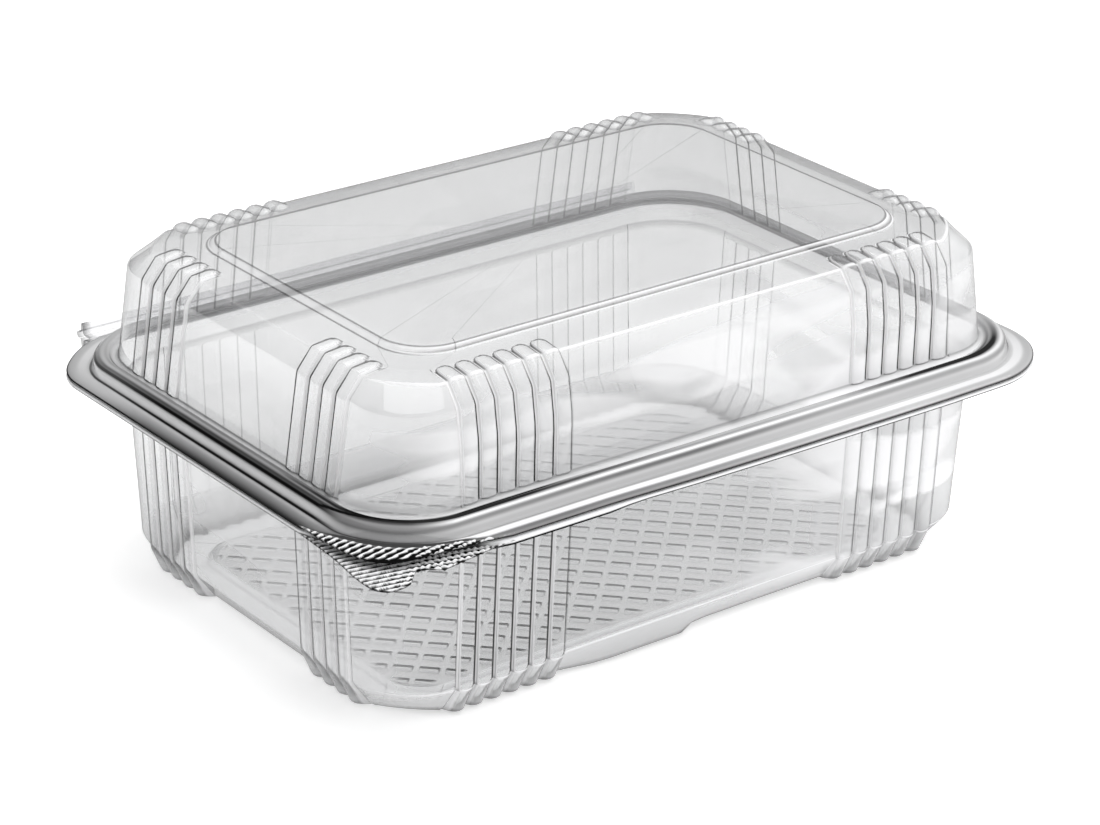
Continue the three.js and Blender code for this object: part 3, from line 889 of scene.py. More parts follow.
# painted shade, glint and flute lines along the tray wall's profile
TRAY_WALL_PAINTED_LIGHT = [
    # level, offset, lit, shaded, lit glint, shaded glint, body, lines
    (0, 0.0, 0.1, 0.1, 0.2, 0.04, 0.0, 0.0),
    (0, 0.4, 0.3, 0.4, 0.0, 0.0, 0.0, 0.5),
    (1, 0.6, 0.0, 0.0, 0.0, 0.0, 0.0, 0.8),
    (2, -12.0, 0.0, 0.0, 0.0, 0.0, 0.0, 0.95),
    (2, -0.6, 0.0, 0.0, 0.0, 0.0, 0.0, 0.9),
    (2, -0.15, 0.0, 0.05, 0.8, 0.19, 0.0, 0.85),
    (2, 0.3, 0.0, 0.0, 0.3, 0.12, 0.05, 0.85),
    (2, 0.8, 0.05, 0.1, 0.1, 0.02, 0.2, 0.9),
    (3, -1.5, 0.16, 0.15, 0.2, 0.1, 0.3, 0.9),
    (3, -0.3, 0.36, 0.25, 0.0, 0.0, 0.3, 0.9),
    (3, 0.6, 0.52, 0.3, 0.0, 0.0, 0.3, 0.9),
    (4, -0.3, 0.7, 0.5, 0.0, 0.0, 0.1, 0.9),
    (4, 0.4, 0.1, 0.1, 0.0, 0.0, 0.0, 0.4),
    (5, 0.0, 0.0, 0.0, 0.0, 0.0, 0.0, 0.0),
    (6, -0.3, 0.0, 0.0, 0.0, 0.0, 0.0, 0.0),
    (6, 0.3, 0.2, 0.2, 0.3, 0.06, 0.0, 0.0),
    (7, -0.1, 0.0, 0.0, 0.5, 0.1, 0.0, 0.0),
    (7, 0.5, 0.0, 0.0, 0.0, 0.0, 0.0, 0.0),
    (8, 0.0, 0.0, 0.0, 0.0, 0.0, 0.0, 0.0),
]
FINGER_FROM, FINGER_TO, FINGER_RISE, FINGER_FALL, FINGER_DROP = -76.0, -31.0, 6.0, 8.0, 0.75
SKIRT_LOW, SKIRT_TOP, SKIRT_HEIGHT, SKIRT_IN = RIM_Z - 0.5, RIM_Z + 1.7, 0.9, 1.5
FOOT_FROM, FOOT_TO, FOOT_OUT = -42.0, -1.0, 3.0
FOOT_RISE, FOOT_FALL, TOE_IN, TOE_SLACK = 14.0, 1.2, 21, 0.2
TOE_OUT_HEIGHTS = ((0.0, 1.2, 7.0), (1.0, 1.0, 0.0))


def shape_tray_rim(points, level):
    """Draws the lip in at the tab and lowers the skirt beside it."""
    points = settle(points, level)
    if SKIRT_LOW < level[HEIGHT] < SKIRT_TOP and level[INSET] < SKIRT_IN:
        rise = np.clip((points[:, 0] - FINGER_FROM) / FINGER_RISE, 0, 1)
        fall = np.clip((FINGER_TO - points[:, 0]) / FINGER_FALL, 0, 1)
        share = min(1.0, (SKIRT_TOP - level[HEIGHT]) / SKIRT_HEIGHT)
        front = (points[:, 1] < -RIM_Y + SKIRT_IN) * rise * fall
        points[:, 2] -= FINGER_DROP * share * front
    return points


def front_foot(points, level):
    """Moves the toe out along part of the front, as a shallow foot."""
    points = points.copy()
    toe = np.interp(level[HEIGHT], *TOE_OUT_HEIGHTS) * (level[INSET] < TOE_IN)
    near = np.clip((points[:, 0] - FOOT_FROM) / FOOT_RISE, 0, 1)
    near = near * np.clip((FOOT_TO - points[:, 0]) / FOOT_FALL + 1, 0, 1)
    front = points[:, 1] < -(RIM_Y - level[INSET]) + TOE_SLACK
    points[:, 1] -= FOOT_OUT * toe * near * front
    return points


tray_rim = shell("tray_rim", TRAY_RIM, TRAY_RIM_PAINTED_LIGHT, PLAIN, shift=shape_tray_rim,
                 paint_light=tuck_painted_shade)
# painted reflections of a pale room on the tray's walls, along each side
TRAY_PAINTED_REFLECTION = {RIGHT: (0.6, 0.1), BACK: (0.05, 0.05), LEFT: (0.2, 0.25),
             FRONT: (0.05, 0.02, 0.03, 0.08, 0.14, 0.45, 0.7, 0.9)}
tray = shell("tray_shell", TRAY_WALL, TRAY_WALL_PAINTED_LIGHT, FLUTED, shift=front_foot,
             painted_reflection=TRAY_PAINTED_REFLECTION)
for piece in (tray_rim, tray):
    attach(piece, "base")
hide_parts("tray")
print("tray triangles:", count_triangles(tray_rim), count_triangles(tray))

# %% [markdown]
# ## The tray's floor
# The floor is stiffened by small square scales that stand in rows at 45 degrees to the
# sides. Each rises gently and ends in one steep edge, which gets a painted dark line with a
# painted highlight before it. Bump nodes could fake them, but they would vanish at a low
# angle, and it is from there that a container is mostly seen. So the scales are in the
# mesh. The floor is a turned grid whose lines crowd at the steep edges, and whatever lies
# past the floor's border is moved onto the border.

# %% Floor grid turned by 45 degrees
PITCH_A, PITCH_B = 6.05, 5.92
OFFSET_A, OFFSET_B = 0.4, -0.25
SCALE_HALF, SCALE_SIDE, SCALE_SLOPE = 2.4, 0.1, 0.4
SCALE_RISE = 0.4
SCALE_LINE_EDGE = 0.25
FLOOR_PAINTED_SHADE = 0.15        # painted shade laid over the whole floor
STEPS_A = np.array([-3.02, -2.6, -2.4, -2.1, -0.9, 0.3, 1.5, 1.95, 2.1, 2.35, 2.55])
STEPS_B = np.array([-2.96, -2.5, -1.2, -0.2, 0.5, 0.9, 1.05, 1.5, 1.9, 2.35, 2.5, 2.75])
# each of these is (place from the middle of a scale, value there)
RAMP = ((-2.5, 1.9, 2.35), (0.0, 1.0, 0.0))
STEEP_LINE = ((0.9, 1.05, 2.35, 2.5), (0.0, 1.0, 1.0, 0.0))
END_LINE = ((1.95, 2.1, 2.35, 2.55), (0.0, 0.8, 0.8, 0.0))
END_LENGTH = ((-0.2, 0.9, 2.35, 2.5), (0.0, 1.0, 1.0, 0.0))
BRIGHT_LINE = ((-1.2, -0.2, 0.5, 0.9), (0.0, 1.0, 1.0, 0.0))
# painted shade on the steep edges and ends, and a painted highlight before each edge
LINE_DARK, LINE_BRIGHT = 0.97, 0.35
FADE_X, FADE_Y = 0.56, 0.72                     # the painted lines fade towards the back right
FADE = ((-55.0, -15.0, 45.0), (1.0, 0.75, 0.4))
SCALES_FROM, SCALES_EASE = 1.0, 0.8             # plain border inside the floor's edge
FLOOR_KEPT = 4.5                                # faces kept this far past the border
BORDER_X, BORDER_Y, BORDER_R = RIM_X - FLOOR_IN - 0.8, RIM_Y - FLOOR_IN - 0.8, 9.0


def rounded_distance(x, y, half_x, half_y, radius):
    """Signed distance to a rounded rectangle, below 0 inside."""
    qx = np.abs(x) - half_x + radius
    qy = np.abs(y) - half_y + radius
    outside = np.hypot(np.maximum(qx, 0), np.maximum(qy, 0))
    return outside + np.minimum(np.maximum(qx, qy), 0) - radius


def floor_lines(reach, pitch, steps):
    """The grid's lines in one direction, with the same steps in every scale."""
    count = int(reach / pitch) + 2
    return np.concatenate([k * pitch + steps for k in range(-count, count + 1)])


def to_border(x, y):
    """Moves points that lie past the floor's border onto it."""
    step = 0.01
    for _ in range(3):
        here = rounded_distance(x, y, BORDER_X, BORDER_Y, BORDER_R)
        gx = (rounded_distance(x + step, y, BORDER_X, BORDER_Y, BORDER_R) - here) / step
        gy = (rounded_distance(x, y + step, BORDER_X, BORDER_Y, BORDER_R) - here) / step
        past = np.maximum(here, 0)
        x, y = x - gx * past, y - gy * past
    return x, y


def floor_sheet():
    """The floor with its scales, as one mesh."""
    reach = (BORDER_X + BORDER_Y) / math.sqrt(2)
    lines_a = floor_lines(reach, PITCH_A, STEPS_A) + OFFSET_A
    lines_b = floor_lines(reach, PITCH_B, STEPS_B) + OFFSET_B
    a, b = np.meshgrid(lines_a, lines_b, indexing="ij")
    x, y = (a + b) / math.sqrt(2), (b - a) / math.sqrt(2)
    inner = rounded_distance(x, y, BORDER_X, BORDER_Y, BORDER_R)
    local_a = (a - OFFSET_A + PITCH_A / 2) % PITCH_A - PITCH_A / 2
    local_b = (b - OFFSET_B + PITCH_B / 2) % PITCH_B - PITCH_B / 2
    across = np.clip((SCALE_HALF + SCALE_SIDE - np.abs(local_a)) / SCALE_SLOPE, 0, 1)
    within = np.clip((-inner - SCALES_FROM) / SCALES_EASE, 0, 1)
    z = FLOOR_Z + SCALE_RISE * np.interp(local_b, *RAMP) * across * within
    # painted shade along each scale's steep edge and end, and a painted highlight before it
    steep = np.interp(local_b, *STEEP_LINE)
    side = SCALE_HALF + SCALE_SIDE - np.abs(local_a)
    steep = steep * np.clip(side / SCALE_LINE_EDGE, 0, 1)
    end = np.interp(local_a, *END_LINE) * np.interp(local_b, *END_LENGTH)
    far = np.interp(x * FADE_X + y * FADE_Y, *FADE)
    dark = np.maximum(steep, end) * within * far
    bright = np.interp(local_b, *BRIGHT_LINE)
    side = SCALE_HALF - np.abs(local_a)
    bright = bright * np.clip(side / SCALE_LINE_EDGE, 0, 1) * within
    kept = inner < FLOOR_KEPT
    x, y = to_border(x, y)
    rows, columns = a.shape
    faces = []
    for i in range(rows - 1):
        for j in range(columns - 1):
            corners = (i, j), (i + 1, j), (i + 1, j + 1), (i, j + 1)
            if all(kept[c] for c in corners) and min(inner[c] for c in corners) < -0.001:
                faces.append([p * columns + q for p, q in corners])
    used = sorted({k for f in faces for k in f})
    place = {k: m for m, k in enumerate(used)}
    points = np.column_stack([x.ravel(), y.ravel(), z.ravel()])[used]
    faces = [[place[k] for k in f] for f in faces]
    none = np.zeros(len(used))
    dark = np.maximum(LINE_DARK * dark.ravel()[used], FLOOR_PAINTED_SHADE)
    values = {"dark": dark, "fold": none, "glint": LINE_BRIGHT * bright.ravel()[used],
              "body": none, "painted_reflection": none}
    return mesh_object("tray_floor", points, faces, values)


tray_floor = floor_sheet()
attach(tray_floor, "base")
print("tray_floor triangles:", count_triangles(tray_floor))

# %% [markdown]
# ## The pull tabs
# One corner of both rims is filled out to a tab, so that a thumb can pull them apart.
# Both tabs carry fine ridges for grip. Each tab is a grid between two curves: the line
# where the lip was drawn in, and the tab's own edge. The ridges are real waves in that
# grid, broken into short beads by a second, slower wave along them.

# %% Outlines of the two tabs
TRAY_TAB_EDGE = np.array([
    (-100, -42), (-100.4, -50), (-101, -58), (-102.3, -67), (-102.3, -73), (-100.4, -76),
    (-97, -76.4), (-94.2, -75.4), (-92.4, -73.0), (-90.6, -71.9), (-88.4, -71.9), (-86.6, -73.3),
    (-84.6, -74.3), (-80.5, -73.7), (-75, -72.9), (-68, -71.9), (-64, -71.8),
])
LID_TAB_EDGE = np.array([
    (-100, -42), (-100.2, -49), (-99.8, -56.3), (-99.0, -61.1), (-97.6, -65.2),
    (-94.9, -68.2), (-91.5, -69.6), (-88.1, -70.2), (-84, -70.6), (-80.4, -71.0), (-76, -71.5),
    (-70, -71.8), (-64, -71.8),
])
RIDGE_PITCH, RIDGE_TURN = 1.7, math.radians(-11)
LID_RIDGE_PITCH, LID_RIDGE_TURN = 1.85, math.radians(13)
BEAD_PITCH, BEAD_BEND, BEAD_DEPTH = 3.1, 0.5, 0.18
GRAIN_PITCH, GRAIN_DEPTH, GRAIN_FROM, GRAIN_EASE = 1.5, 0.7, 4, 8
EDGE_FADE = 0.5             # the ridges flatten this far from an edge
RIDGE_EDGE = 4.0            # how sharply painted highlight and painted shade meet on a ridge
NEAR_LIP, NEAR_LIP_HALF = 0.75, 0.4             # more painted highlight on the ridges beside the lip
# painted shade along the tab's edges
MARGIN_LEAST, MARGIN_EDGE = 0.3, 0.4
MARGIN_FROM, MARGIN_RISE, MARGIN_TO, MARGIN_FALL = -8, 6, 16, 12
LIP_MARGIN, NARROW, TIP, TAB_BODY = 0.25, 1.5, 0.6, 0.8
VALLEY_AT_EDGE = 0.35       # how much painted shade a valley still has at an edge
ARC_STEPS, STRAIGHT_STEPS = 60, 12
TRAY_TAB_Z, LID_TAB_Z = RIM_Z + 0.95, LIP + 0.75


def resample(points, count):
    """Points at equal steps along a smooth curve through the given ones."""
    fine = []
    padded = np.vstack([2 * points[0] - points[1], points, 2 * points[-1] - points[-2]])
    for k in range(1, len(padded) - 2):
        p0, p1, p2, p3 = padded[k - 1:k + 3]
        for t in np.linspace(0, 1, 12, endpoint=False):
            fine.append(0.5 * (2 * p1 + (p2 - p0) * t + (2 * p0 - 5 * p1 + 4 * p2 - p3) * t * t
                               + (3 * p1 - p0 - 3 * p2 + p3) * t ** 3))
    fine = np.array(fine + [points[-1]])
    run = np.concatenate([[0], np.cumsum(np.linalg.norm(np.diff(fine, axis=0), axis=1))])
    at = np.linspace(0, run[-1], count)
    return np.column_stack([np.interp(at, run, fine[:, k]) for k in range(2)])


def drawn_in_curve(start, end, count):
    """Where the drawn-in lip runs, from y = start on the left to x = end in front."""
    turn = np.linspace(0, math.pi / 2, ARC_STEPS)
    arc = np.column_stack([CORNER_X - RIM_RADIUS * np.cos(turn),
                           CORNER_Y - RIM_RADIUS * np.sin(turn)])
    left = np.column_stack([np.full(STRAIGHT_STEPS, -RIM_X),
                            np.linspace(start, CORNER_Y, STRAIGHT_STEPS)])
    front = np.column_stack([np.linspace(CORNER_X, end, STRAIGHT_STEPS),
                             np.full(STRAIGHT_STEPS, -RIM_Y)])
    line = np.vstack([left, arc[1:], front[1:]])
    line = pull_in(line, np.zeros(RUN + 1))
    run = np.concatenate([[0], np.cumsum(np.linalg.norm(np.diff(line, axis=0), axis=1))])
    at = np.linspace(0, run[-1], count)
    return np.column_stack([np.interp(at, run, line[:, k]) for k in range(2)])


print("points in the tabs' outlines:", len(TRAY_TAB_EDGE), len(LID_TAB_EDGE))

# %% Two ridged tabs
def tab(name, edge, height, ridge, highlight_share, band, pitch, slant, rows=72, columns=260):
    """A tab between the drawn-in lip and its own edge. ridge is how high its ridges are, and
    band the width of the painted shade along its outer edge. One more number gives the
    share of each ridge with a painted highlight."""
    outer = resample(np.asarray(edge, float), columns)
    inner = drawn_in_curve(edge[0][1], edge[-1][0], columns)
    t = np.linspace(0, 1, rows)[:, None, None]
    xy = inner[None] * (1 - t) + outer[None] * t
    width = np.linalg.norm(outer - inner, axis=1)[None]
    from_inner, from_outer = t[..., 0] * width, (1 - t[..., 0]) * width
    from_left = tab_place(xy[..., 0], xy[..., 1])

    # the ridges, their beads, and a finer grain towards the front
    turn_cos, turn_sin = math.cos(slant), math.sin(slant)
    across = xy[..., 1] * turn_cos - xy[..., 0] * turn_sin
    along = xy[..., 0] * turn_cos + xy[..., 1] * turn_sin
    beads = np.sin(2 * math.pi * (along / BEAD_PITCH + 0.5 * across / pitch))
    wave = np.sin(2 * math.pi * across / pitch + BEAD_BEND * beads) + BEAD_DEPTH * beads
    grain = GRAIN_DEPTH * np.clip((from_left - GRAIN_FROM) / GRAIN_EASE, 0, 1)
    wave = wave + grain * np.sin(2 * math.pi * along / GRAIN_PITCH + 2 * np.sin(2 * across))
    fade = np.clip(np.minimum(from_inner, from_outer) / EDGE_FADE, 0, 1)
    z = height + ridge * wave * fade

    # painted highlights on the crests, painted shade in the valleys and along both edges
    level = 1 - 2 * highlight_share - 0.5 * np.exp(-((from_inner - NEAR_LIP) / NEAR_LIP_HALF) ** 2)
    crest = np.clip((wave - level) * RIDGE_EDGE + 0.5, 0, 1) * fade
    valley = np.clip((level - wave) * RIDGE_EDGE + 0.5, 0, 1)
    front = np.clip((from_left - MARGIN_FROM) / MARGIN_RISE, 0, 1)
    front = front * np.clip((MARGIN_TO - from_left) / MARGIN_FALL, 0, 1)
    margin = np.maximum(MARGIN_LEAST, band * front) - from_outer
    margin = np.clip(margin / MARGIN_EDGE + 0.5, 0, 1)
    margin = np.maximum(margin, np.clip(1.1 - from_inner / LIP_MARGIN, 0, 1))
    margin = margin * np.clip(width / NARROW, 0, 1)
    dark = np.maximum(valley * (VALLEY_AT_EDGE + (1 - VALLEY_AT_EDGE) * fade), margin)
    solid = np.clip(width / TIP, 0, 1) * np.ones_like(dark)
    none = np.zeros(dark.size)
    values = {"dark": dark.ravel(), "fold": none, "glint": (crest * (1 - margin)).ravel(),
              "body": TAB_BODY * solid.ravel(), "painted_reflection": none}
    points = np.concatenate([xy, z[..., None]], axis=2).reshape(-1, 3)
    return mesh_object(name, points, grid_faces(rows, columns, closed=False), values)


tray_tab = tab("tray_tab", TRAY_TAB_EDGE, TRAY_TAB_Z, ridge=0.3, highlight_share=0.5, band=0.5,
               pitch=RIDGE_PITCH, slant=RIDGE_TURN)
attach(tray_tab, "base")
lid_tab = tab("lid_tab", LID_TAB_EDGE, LID_TAB_Z, ridge=0.25, highlight_share=0.34, band=1.6,
              pitch=LID_RIDGE_PITCH, slant=LID_RIDGE_TURN)
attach(lid_tab, "cover")
print("tab triangles:", count_triangles(tray_tab), count_triangles(lid_tab))

# %% [markdown]
# ## The hinge at the back
# The lid and tray are one sheet, folded along the back. On either side of the fold the
# sheet forms a narrow strip with a raised lip. A curve with a bevel would give the same
# strips, but not the painted light values. So a strip is a small cross-section, already
# rounded, that is pushed along X, with painted shade at its left end.

# %% Hinge strips
HINGE_HALF = 84.0
HINGE_Y = 76.4
FOLD_Z, FOLD_R, FOLD_OPEN = 48.9, 0.85, 2.2     # the bead is open towards the strips
SECTION_POINTS = 40
# painted shade at the left end, and a faint fold and painted glint all along
END_DARK, END_LONG = 0.6, 0.5
STRIP_FOLD, STRIP_GLINT = 0.05, 0.1


def strip(name, section, half=HINGE_HALF, steps=60, close=False):
    """A sheet pushed along X from a cross-section of (y, z) points."""
    section = np.asarray(section, float)
    fine = section if close else resample(section, SECTION_POINTS)
    xs = np.linspace(-half, half, steps + 1)
    points = [(x, y, z) for x in xs for y, z in fine]
    columns = len(fine)
    faces = [(b, a, d, c) for a, b, c, d in grid_faces(steps + 1, columns, closed=close)]
    end = np.repeat(np.clip(1 - (half + xs) / END_LONG, 0, 1), columns)
    whole, none = np.ones(len(points)), np.zeros(len(points))
    values = {"dark": END_DARK * end, "fold": STRIP_FOLD * whole, "glint": STRIP_GLINT * whole,
              "body": none, "painted_reflection": none}
    return mesh_object(name, points, faces, values)


lid_strip = strip("hinge_lid_strip", [
    (RIM_Y - 0.2, 49.35), (73.4, 49.45), (74.2, 49.9), (74.5, 51.6), (74.9, 52.3), (75.3, 51.6),
    (75.45, 50.2), (75.9, 49.7),
])
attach(lid_strip, "cover")
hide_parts("hinge_lid_leaf")
tray_strip = strip("hinge_tray_strip", [
    (RIM_Y - 0.2, 48.4), (73.4, 48.3), (74.2, 47.9), (74.5, 46.2), (74.9, 45.5), (75.3, 46.2),
    (75.45, 47.6), (75.9, 48.1),
])
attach(tray_strip, "base")
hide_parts("hinge_tray_leaf")
fold = strip("hinge_fold_bead", [
    (HINGE_Y + FOLD_R * math.cos(a), FOLD_Z + FOLD_R * math.sin(a))
    for a in np.linspace(-FOLD_OPEN, FOLD_OPEN, 17)
])
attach(fold, "base")
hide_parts("hinge_fold")
print("hinge triangles:", *(count_triangles(o) for o in (lid_strip, tray_strip, fold)))

# %% [markdown]
# ## Clear sheet
# Glass with real thickness would be the textbook answer, but a container has many walls
# one behind another, and each would bend and scatter every ray. A sheet this thin doesn't
# bend light, so it is drawn as what it does: it lets light pass, mirrors some of it as the
# angle gets flatter, and gets painted shade where it is folded or seen edge on.
#
# The layers lie over each other in that order. First the see-through sheet, made milky by
# the body value. Then the mirror, then the painted white of the glints and reflections, and
# painted black shade on top. The painted reflection stands for a pale room mirrored in the
# walls, and comes and goes in soft patches that lie in the object's own space.

# %% Node helpers
def new_material(name):
    """An empty node material and its tree."""
    material = bpy.data.materials.new(name)
    material.use_nodes = True
    tree = material.node_tree
    tree.nodes.clear()
    return material, tree


def node(tree, kind, **settings):
    """A new node with its settings."""
    made = tree.nodes.new(kind)
    for key, value in settings.items():
        setattr(made, key, value)
    return made


def maths(tree, operation, a, b=None, clamp=False):
    """A Math node on outputs or plain numbers."""
    made = node(tree, "ShaderNodeMath", operation=operation, use_clamp=clamp)
    for socket, value in zip(made.inputs, (a, b)):
        if value is None:
            continue
        if isinstance(value, (int, float)):
            socket.default_value = value
        else:
            tree.links.new(value, socket)
    return made.outputs[0]


def smooth_step(tree, value, low, high):
    """A Map Range node that eases from 0 at low to 1 at high."""
    made = node(tree, "ShaderNodeMapRange", interpolation_type="SMOOTHSTEP", clamp=True)
    made.inputs["From Min"].default_value = low
    made.inputs["From Max"].default_value = high
    tree.links.new(value, made.inputs["Value"])
    return made.outputs["Result"]


def mix(tree, share, first, second):
    """A Mix Shader of two shaders, by a number or an output."""
    made = node(tree, "ShaderNodeMixShader")
    if isinstance(share, (int, float)):
        made.inputs[0].default_value = share
    else:
        tree.links.new(share, made.inputs[0])
    tree.links.new(first, made.inputs[1])
    tree.links.new(second, made.inputs[2])
    return made.outputs[0]


def plain_diffuse(tree, value):
    """A matt shader in a grey."""
    made = node(tree, "ShaderNodeBsdfDiffuse")
    made.inputs["Color"].default_value = (value, value, value * 1.01, 1.0)
    return made.outputs[0]


print("node helpers ready")

# %% The sheet's material
# greys of the painted shade and of the painted glints and reflections
PAINTED_SHADE_GREY, PAINTED_GLINT_GREY = 0.006, 0.97
ONE_FACE = 0.04             # what one face of the sheet mirrors, seen straight on
RIPPLE_SCALE, RIPPLE_DEPTH = 28.0, 0.002
FOLD_SHOWS = (0.1, 0.36)    # the slant at which a fold begins to show, and is whole
PATCH_SCALE, PATCH_EDGE = 17.0, (0.46, 0.58)
PATCH_SHIFT, PATCH_TURN, PATCH_FLAT = (0.0, 0.0, 0.045), (0.1, -0.12, 0.0), (1.0, 1.0, 4.5)
PAINTED_REFLECTION_BETWEEN = 0.45         # what is left of the painted reflection between its patches


def mirror_share(tree, aslant):
    """How much both faces of the sheet mirror together, by the slant of the view."""
    once = maths(tree, "MULTIPLY", maths(tree, "POWER", aslant, 5.0), 1 - ONE_FACE)
    once = maths(tree, "ADD", once, ONE_FACE)
    return maths(tree, "DIVIDE", maths(tree, "MULTIPLY", once, 2.0),
                 maths(tree, "ADD", once, 1.0))


def painted_reflection_patches(tree, coordinate):
    """Soft, flat patches of the painted reflection in the object's own space."""
    patches = node(tree, "ShaderNodeTexNoise")
    patches.inputs["Scale"].default_value = PATCH_SCALE
    patches.inputs["Detail"].default_value = 0.5
    patches.inputs["Distortion"].default_value = 0.8
    stretch = node(tree, "ShaderNodeMapping")
    stretch.inputs["Location"].default_value = PATCH_SHIFT
    stretch.inputs["Rotation"].default_value = PATCH_TURN
    stretch.inputs["Scale"].default_value = PATCH_FLAT
    tree.links.new(coordinate.outputs["Object"], stretch.inputs["Vector"])
    tree.links.new(stretch.outputs["Vector"], patches.inputs["Vector"])
    painted_reflection = smooth_step(tree, patches.outputs["Fac"], *PATCH_EDGE)
    return maths(tree, "ADD", painted_reflection, PAINTED_REFLECTION_BETWEEN)


def clear_sheet(name, tint, haze, ripple, solid_tone):
    """A thin clear sheet. tint is what it lets through, haze how milky it is, ripple how
    uneven, and solid_tone how bright it is where it looks solid."""
    material, tree = new_material(name)
    links = tree.links
    coordinate = node(tree, "ShaderNodeTexCoord")
    waves = node(tree, "ShaderNodeTexNoise")
    waves.inputs["Scale"].default_value = RIPPLE_SCALE
    waves.inputs["Detail"].default_value = 2.0
    links.new(coordinate.outputs["Object"], waves.inputs["Vector"])
    bump = node(tree, "ShaderNodeBump")
    bump.inputs["Strength"].default_value = ripple
    bump.inputs["Distance"].default_value = RIPPLE_DEPTH
    links.new(waves.outputs["Fac"], bump.inputs["Height"])
    normal = bump.outputs["Normal"]

    facing = node(tree, "ShaderNodeLayerWeight")
    facing.inputs["Blend"].default_value = 0.5
    links.new(normal, facing.inputs["Normal"])
    aslant = facing.outputs["Facing"]
    both_faces = mirror_share(tree, aslant)

    # the values stored at the points, as numbers of the material
    values = {}
    for key in VALUE_NAMES:
        made = node(tree, "ShaderNodeAttribute", attribute_name=key)
        values[key] = made.outputs["Fac"]
    # painted shade where the sheet is seen edge on, where it is folded, and where the dark value
    # says
    graze = maths(tree, "MULTIPLY", maths(tree, "POWER", aslant, 7.0), 0.8)
    fold = maths(tree, "MULTIPLY", smooth_step(tree, aslant, *FOLD_SHOWS), values["fold"])
    dark = maths(tree, "MAXIMUM", graze, fold)
    dark = maths(tree, "MAXIMUM", dark, values["dark"], clamp=True)

    through = node(tree, "ShaderNodeBsdfTransparent")
    through.inputs["Color"].default_value = (*tint, 1.0)
    solid = maths(tree, "ADD", values["body"], haze, clamp=True)
    body = mix(tree, solid, through.outputs[0], plain_diffuse(tree, solid_tone))

    gloss = node(tree, "ShaderNodeBsdfGlossy")
    gloss.inputs["Roughness"].default_value = 0.05
    links.new(normal, gloss.inputs["Normal"])
    shiny = mix(tree, both_faces, body, gloss.outputs[0])

    # painted glints and reflections in white, then the painted shade in black on top
    painted_reflection = maths(tree, "MULTIPLY", painted_reflection_patches(tree, coordinate), values["painted_reflection"], clamp=True)
    white = maths(tree, "MAXIMUM", values["glint"], painted_reflection)
    bright = mix(tree, white, shiny, plain_diffuse(tree, PAINTED_GLINT_GREY))
    sheet = mix(tree, dark, bright, plain_diffuse(tree, PAINTED_SHADE_GREY))

    output = node(tree, "ShaderNodeOutputMaterial")
    links.new(sheet, output.inputs["Surface"])
    return material


lid_sheet = clear_sheet("lid_sheet", (0.82, 0.822, 0.825), 0.04, 0.25, 0.7)
tray_sheet = clear_sheet("tray_sheet", (0.85, 0.852, 0.855), 0.03, 0.2, 0.7)
hinge_sheet = clear_sheet("hinge_sheet", (0.98, 0.98, 0.985), 0.0, 0.1, 0.8)
for thing in (lid_rim, lid, lid_tab):
    thing.data.materials.append(lid_sheet)
for thing in (tray_rim, tray, tray_floor, tray_tab):
    thing.data.materials.append(tray_sheet)
for thing in (lid_strip, tray_strip, fold):
    thing.data.materials.append(hinge_sheet)
print("materials:", [m.name for m in bpy.data.materials][:8])

# %% [markdown]
# ## Floor and light
# A clear object shows its surroundings, so those matter more than its own colour. The
# floor is pale and evenly lit from a large soft light above, and glows a little, like a
# lit table, which keeps the shadow faint. The room itself is bright to the right and in
# front and dark at the back left, with soft clouds, so that the sheet has something to
# mirror and stays visible against the pale floor.

# %% Floor
FLOOR_HALF = 3.0
GROUND_GLOW = 0.45
GROUND_GREYS = (0.9, 0.93)


def make_floor():
    """A pale table that glows a little, under the container."""
    corners = [(-1, -1), (1, -1), (1, 1), (-1, 1)]
    points = [(x * FLOOR_HALF / MM, y * FLOOR_HALF / MM, -0.05) for x, y in corners]
    ground = mesh_object("ground", points, [(0, 1, 2, 3)], smooth=False)
    material, tree = new_material("pale_ground")
    coordinate = node(tree, "ShaderNodeTexCoord")
    grain = node(tree, "ShaderNodeTexNoise")
    grain.inputs["Scale"].default_value = 3.0
    ramp = node(tree, "ShaderNodeValToRGB")
    for element, grey in zip(ramp.color_ramp.elements, GROUND_GREYS):
        element.color = (grey, grey, grey, 1)
    paint = node(tree, "ShaderNodeBsdfDiffuse")
    glow = node(tree, "ShaderNodeEmission")
    glow.inputs["Strength"].default_value = GROUND_GLOW
    both = node(tree, "ShaderNodeAddShader")
    output = node(tree, "ShaderNodeOutputMaterial")
    tree.links.new(coordinate.outputs["Object"], grain.inputs["Vector"])
    tree.links.new(grain.outputs["Fac"], ramp.inputs["Fac"])
    tree.links.new(ramp.outputs["Color"], paint.inputs["Color"])
    tree.links.new(paint.outputs[0], both.inputs[0])
    tree.links.new(glow.outputs[0], both.inputs[1])
    tree.links.new(both.outputs[0], output.inputs["Surface"])
    ground.data.materials.append(material)
    return ground


ground = make_floor()
print("ground spans", 2 * FLOOR_HALF, "m")

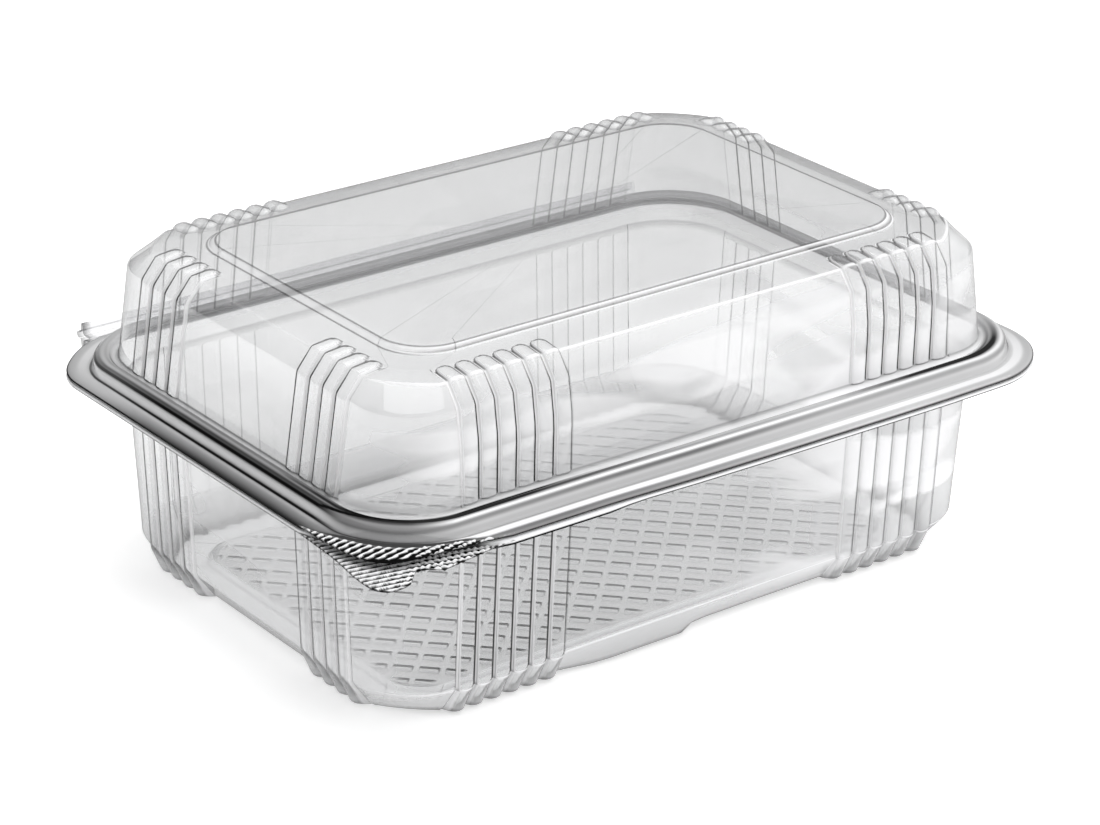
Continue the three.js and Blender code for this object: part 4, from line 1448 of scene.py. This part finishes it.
# %% Lights and surroundings
OVERHEAD_PLACE, OVERHEAD_SIZE, OVERHEAD_WATTS = (0.2, -0.1, 2.0), 2.4, 34
ROOM_RIGHT, ROOM_FRONT, ROOM_CLOUDS, ROOM_STRENGTH = 0.35, 0.25, 0.9, 1.05


def area_light(name, place, target, size, size_y, power):
    """A rectangular light, aimed at a target."""
    data = bpy.data.lights.new(name, "AREA")
    data.shape = "RECTANGLE"
    data.size, data.size_y, data.energy = size, size_y, power
    light = bpy.data.objects.new(name, data)
    light.location = Vector(place)
    aim = Vector(target) - Vector(place)
    light.rotation_mode = "QUATERNION"
    light.rotation_quaternion = aim.to_track_quat("-Z", "Y")
    bpy.context.scene.collection.objects.link(light)
    return light


area_light("overhead", OVERHEAD_PLACE, (0, 0, 0), OVERHEAD_SIZE, OVERHEAD_SIZE,
           OVERHEAD_WATTS)


def make_room():
    """A room that is bright to the right and in front, and dark at the back left."""
    world = bpy.data.worlds.new("room")
    world.use_nodes = True
    tree = world.node_tree
    coordinate = node(tree, "ShaderNodeTexCoord")
    parts = node(tree, "ShaderNodeSeparateXYZ")
    tree.links.new(coordinate.outputs["Generated"], parts.inputs[0])
    clouds = node(tree, "ShaderNodeTexNoise")
    clouds.inputs["Scale"].default_value = 2.2
    clouds.inputs["Detail"].default_value = 1.0
    tree.links.new(coordinate.outputs["Generated"], clouds.inputs["Vector"])
    value = maths(tree, "MULTIPLY", parts.outputs["X"], ROOM_RIGHT)
    front = maths(tree, "MULTIPLY", parts.outputs["Y"], ROOM_FRONT)
    value = maths(tree, "SUBTRACT", value, front)
    soft = maths(tree, "MULTIPLY", clouds.outputs["Fac"], ROOM_CLOUDS)
    value = maths(tree, "ADD", value, soft, clamp=True)
    tree.links.new(value, tree.nodes["Background"].inputs["Color"])
    tree.nodes["Background"].inputs["Strength"].default_value = ROOM_STRENGTH
    return world


world = make_room()
bpy.context.scene.world = world
bpy.context.scene.view_settings.view_transform = "Standard"
bpy.context.scene.cycles.transparent_max_bounces = 32
